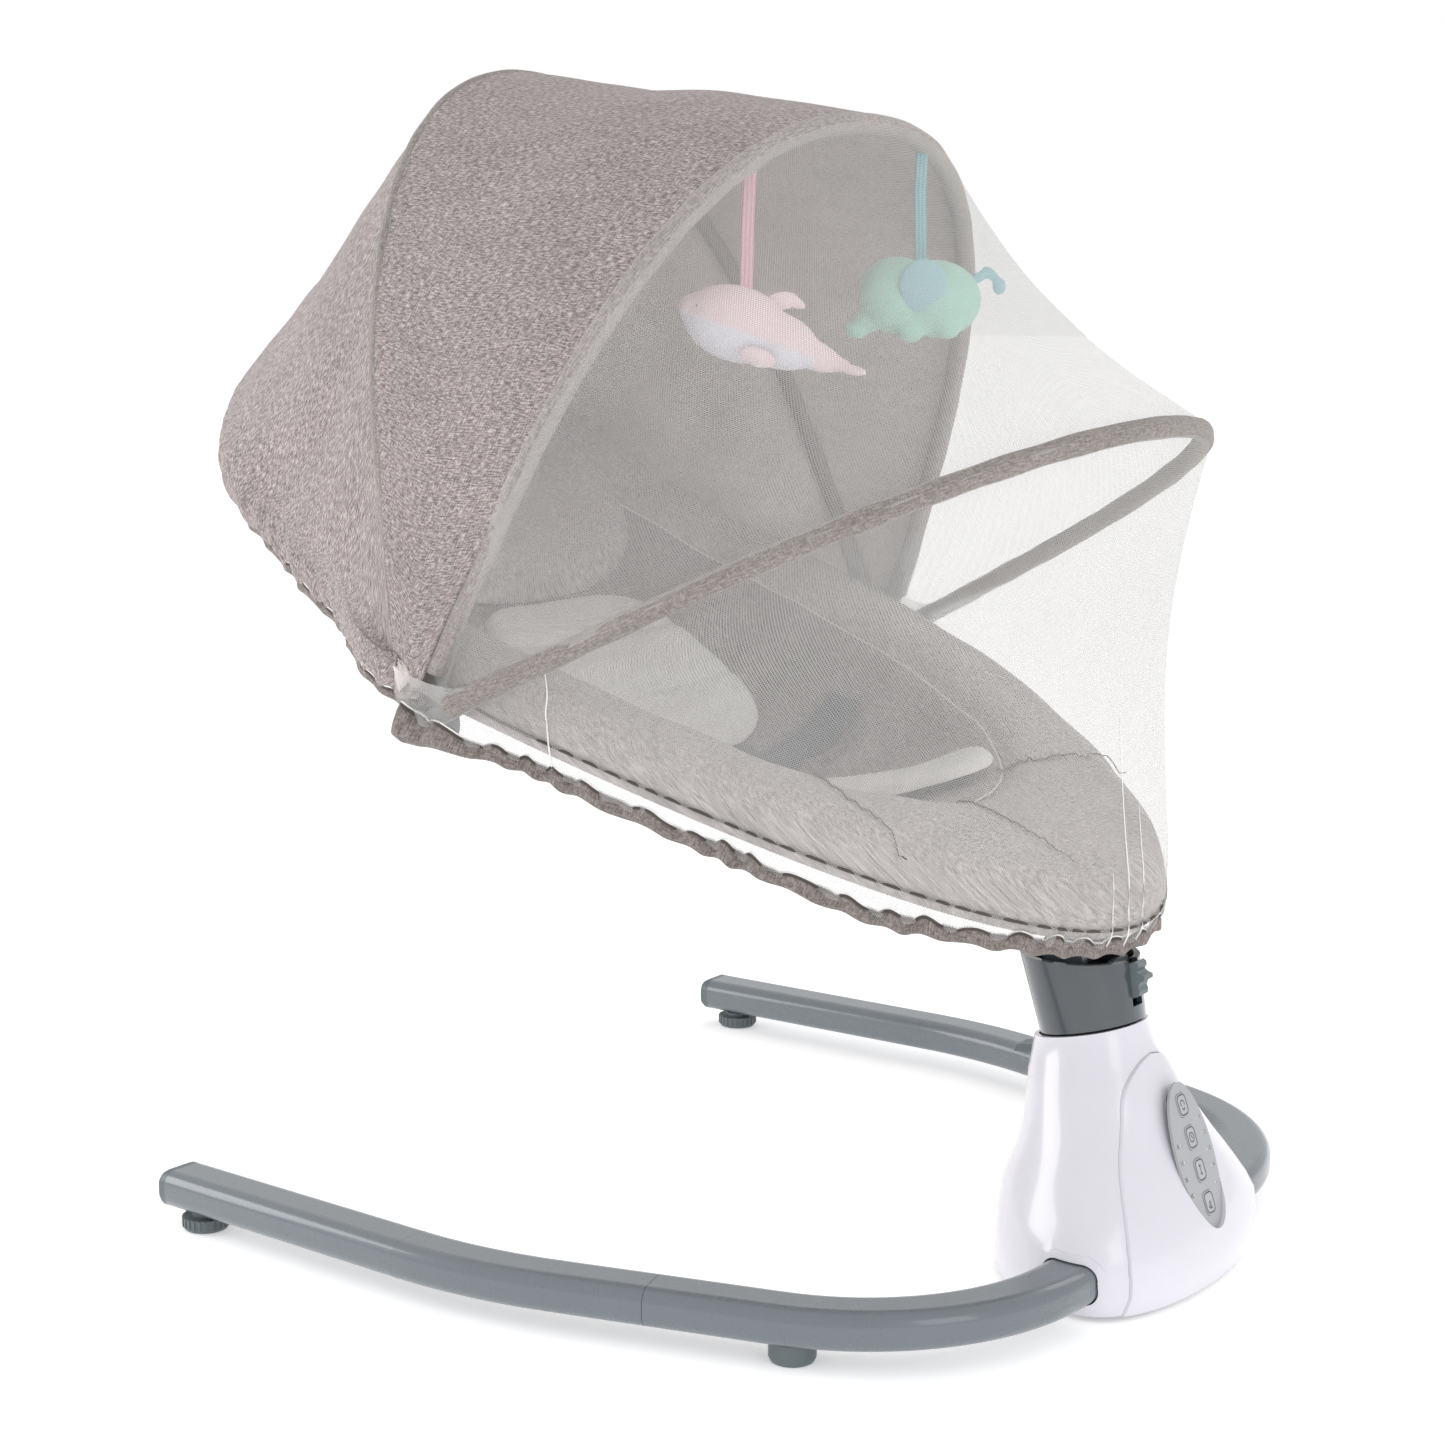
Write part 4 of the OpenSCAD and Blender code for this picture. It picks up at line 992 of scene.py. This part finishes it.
FEET = [((x, s * 9, z), (8, 7, 7), (0, 0, 0)) for x, z in ((-6, -98), (15, -96)) for s in (-1, 1)]
elephant = blob("elephant_body", [
    ((-14, 0, -78), (22, 19, 22), (0, 0, 0)), ((9, 0, -80), (26, 19, 22), (0, 6, 0)),
    ((-30, 0, -92), (8, 7, 7), (0, 30, 0)), ((-37, 0, -98), (7, 5.5, 4.5), (0, 20, 0))] + FEET,
    MAT["mint_plush"])
ears = [blob("elephant_ear%d" % s, [((0, s * 19, -73), (14, 3, 16), (s * -14, -8, 0))], EAR, 1.0, 3)
        for s in (-1, 1)]
tail = blob("elephant_tail", [
    ((33, 0, -68), (8, 2.6, 3), (0, -30, 0)), ((40, 0, -66), (6, 2.6, 3), (0, 40, 0)),
    ((45, 0, -73), (4, 3, 5), (0, 0, 0))], EAR, 1.0, 3)
string = ribbon("elephant_ribbon", [(0, 0, 3), (-1, 0, -20), (0, 0, -58)], RIBBON_TEAL)
toy("elephant_toy", "toy_elephant", elephant_at,
    [elephant] + ears + [tail] + eyes("elephant", (-29, 11.5, -79), 1.6) + [string])


# ------------------------------------------------------------------ CAD pieces that stay
def soften(ob, angle):
    """Smooth shading over a faceted CAD surface, with its real edges kept crisp."""
    me = ob.data
    if "custom_normal" in me.attributes:
        me.attributes.remove(me.attributes["custom_normal"])
    w = ob.modifiers.new("weld", "WELD")
    w.merge_threshold = 0.00002
    e = ob.modifiers.new("edges", "EDGE_SPLIT")
    e.split_angle = math.radians(angle)
    me.polygons.foreach_set("use_smooth", [True] * len(me.polygons))


for name, ob in nodes.items():
    ob.data.materials.clear()
    ob.data.materials.append(MAT[slots[name]])
for name in ("housing_body", "housing_front_cover"):
    soften(nodes[name], 32)


# ------------------------------------------------------------------ panel print
PANEL = Matrix.Translation(((288.4 + XO) / 1000, 0, 0.0705)) @ Matrix.Rotation(math.radians(70.9), 4, "Y")


def stroke(name, pts, z, width, closed=False):
    """Printed line on the panel's face, in its own mm."""
    p = np.array(pts, float)
    if closed:
        p = np.vstack([p, p[:1]])
    d = unit(np.gradient(p, axis=0))
    if closed:
        d[0] = d[-1] = unit(p[1] - p[-2])
    n = np.stack([-d[:, 1], d[:, 0]], -1) * width / 2
    k = len(p)
    v = np.concatenate([np.c_[p + n, np.full(k, z)], np.c_[p - n, np.full(k, z)]])
    f = [[i, i + 1, k + i + 1, k + i] for i in range(k - 1)]
    v[:, 0] -= XO
    return make(name, v, f, v[:, :2], INK, False)


def rounded(l, w, r, n=8):
    """Points round a box with round corners."""
    pts = []
    for k, (sx, sy) in enumerate(((1, 1), (-1, 1), (-1, -1), (1, -1))):
        pts += ring(sx * (l / 2 - r), sy * (w / 2 - r), r, 90 * k, 90 * k + 90, n)
    return pts


def ring(cx, cy, r, a0=0, a1=360, n=24):
    angles = [math.radians(lerp(a0, a1, i / n)) for i in range(n + 1)]
    return [(cx + r * math.cos(a), cy + r * math.sin(a)) for a in angles]


KEY_X = (-27.5, -9.7, 8.1, 26)        # the keys' places along the panel
KEY_FACE = 2.06                       # the print on a key, above the panel's middle plane
FIGURE_FACE = 1.66                    # the print on the panel


def icon(index, key, lines):
    x0 = KEY_X[index]
    parts = [stroke("k", [(x + x0, y) for x, y in rounded(10.6, 8.8, 2.6)], KEY_FACE, 0.7, True)]
    for pts in lines:
        parts.append(stroke("k", [(x + x0, y) for x, y in pts], KEY_FACE, 0.6))
    ob = join("icon_" + key, parts)
    ob.data.transform(PANEL)
    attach(ob, "button_" + key)


icon(0, "power", [ring(-0.6, 0, 1.9, 60, 300), [(1.4, -1.0), (2.8, -0.7)], [(1.4, 1.0), (2.8, 0.7)],
                  [(2.6, -0.8), (2.6, 0.8)]])
icon(1, "timer", [ring(0, 0, 2.5), [(-1.5, 0), (0, 0)], [(0, 0), (0.8, 1.1)]])
icon(2, "speed", [[(-2.8, 0), (2.8, 0)], [(-1.7, -0.9), (-2.8, 0), (-1.7, 0.9)],
                  [(1.7, -0.9), (2.8, 0), (1.7, 0.9)]])
icon(3, "music", [[(1.2, 0.9), (1.2, -0.3), (-0.4, -0.3)], [(1.2, 0.9), (-0.4, 0.9), (-0.4, -0.3)],
                  ring(0.4, 0.4, 1.9, -60, 30, 8), ring(0.4, 0.4, 2.8, -55, 25, 8)])


def figures():
    """The small numbers beside the rows of lights."""
    parts = []
    marks = [("1", -17.5, 14.6), ("2", -8.5, 16.0), ("3", 0.4, 16.4), ("4", 9.4, 16.0),
             ("8", -8.5, -16.0), ("15", 0.4, -16.6), ("30", 9.4, -16.6), ("45", 18.4, -15.4)]
    for text, x, y in marks:
        curve = bpy.data.curves.new("n", "FONT")
        curve.body = text
        curve.size = 0.0032
        curve.align_x = curve.align_y = "CENTER"
        ob = place("n", curve)
        me = evaluated(ob)
        bpy.data.objects.remove(ob)
        spot = Matrix.Translation((x / 1000, y / 1000, FIGURE_FACE / 1000))
        me.transform(spot @ Matrix.Rotation(math.radians(90), 4, "Z"))
        me.materials.clear()
        me.materials.append(INK)
        parts.append(place("n", me))
    ob = join("panel_figures", parts)
    ob.data.transform(PANEL)
    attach(ob, "base")


figures()

# ------------------------------------------------------------------ floor, light, camera
p = Paint("floor")
fine = p.noise(p.coords("Object", (1, 1, 1)), 30, 3)
floor_mat = p.finish(p.surface(p.ramp(fine, [(0.3, (0.96, 0.96, 0.96)), (0.7, (0.98, 0.98, 0.98))]), 0.9,
                               Specular_IOR_Level=0.0, Emission_Strength=0.33, Emission_Color=(1, 1, 1, 1)))
FLOOR_HALF, FLOOR_Z = 30, -0.0004     # metres; just under the feet
me = bpy.data.meshes.new("floor")
corners = [(x * FLOOR_HALF, y * FLOOR_HALF, FLOOR_Z) for x, y in ((-1, -1), (1, -1), (1, 1), (-1, 1))]
me.from_pydata(corners, [], [(0, 1, 2, 3)])
me.materials.append(floor_mat)
floor = place("floor", me)

world = bpy.data.worlds.new("studio")
bpy.context.scene.world = world
world.use_nodes = True
# the backdrop is plain white, while the light from it is a little weaker
BACKDROP, SKYLIGHT = 1.0, 0.86
sky = world.node_tree.nodes["Background"]
sky.inputs["Color"].default_value = (1, 1, 1, 1)
path = world.node_tree.nodes.new("ShaderNodeLightPath")
level = world.node_tree.nodes.new("ShaderNodeMapRange")
level.inputs["To Min"].default_value = SKYLIGHT
level.inputs["To Max"].default_value = BACKDROP
world.node_tree.links.new(path.outputs["Is Camera Ray"], level.inputs["Value"])
world.node_tree.links.new(level.outputs[0], sky.inputs["Strength"])


def area(name, at, target, size, watts):
    light = bpy.data.lights.new(name, "AREA")
    light.shape = "RECTANGLE"
    light.size, light.size_y = size
    light.energy = watts
    ob = place(name, light)
    ob.location = at
    ob.rotation_euler = (Vector(target) - Vector(at)).to_track_quat("-Z", "Y").to_euler()


area("key", (-1.15, -0.75, 0.62), (-0.2, -0.1, 0.45), (0.7, 0.7), 6)
area("fill", (1.9, -0.7, 1.0), (0.1, 0, 0.3), (0.8, 1.2), 5)
area("back", (0.3, 1.9, 1.6), (0, 0, 0.35), (1.6, 0.8), 6)

EYE_AT = (865.9, -1207.9, 522.2)      # the camera's place in mm, with its tilt and turn in degrees
TILT, TURN = 80.605, 36.37
cam_data = bpy.data.cameras.new("camera")
cam_data.sensor_width = 36
cam_data.lens = 64.007
cam_data.clip_start, cam_data.clip_end = 0.05, 100
cam = place("camera", cam_data)
cam.location = to_world(EYE_AT)[0]
cam.rotation_euler = (math.radians(TILT), 0, math.radians(TURN))
bpy.context.scene.camera = cam
bpy.context.scene.view_settings.view_transform = "Standard"
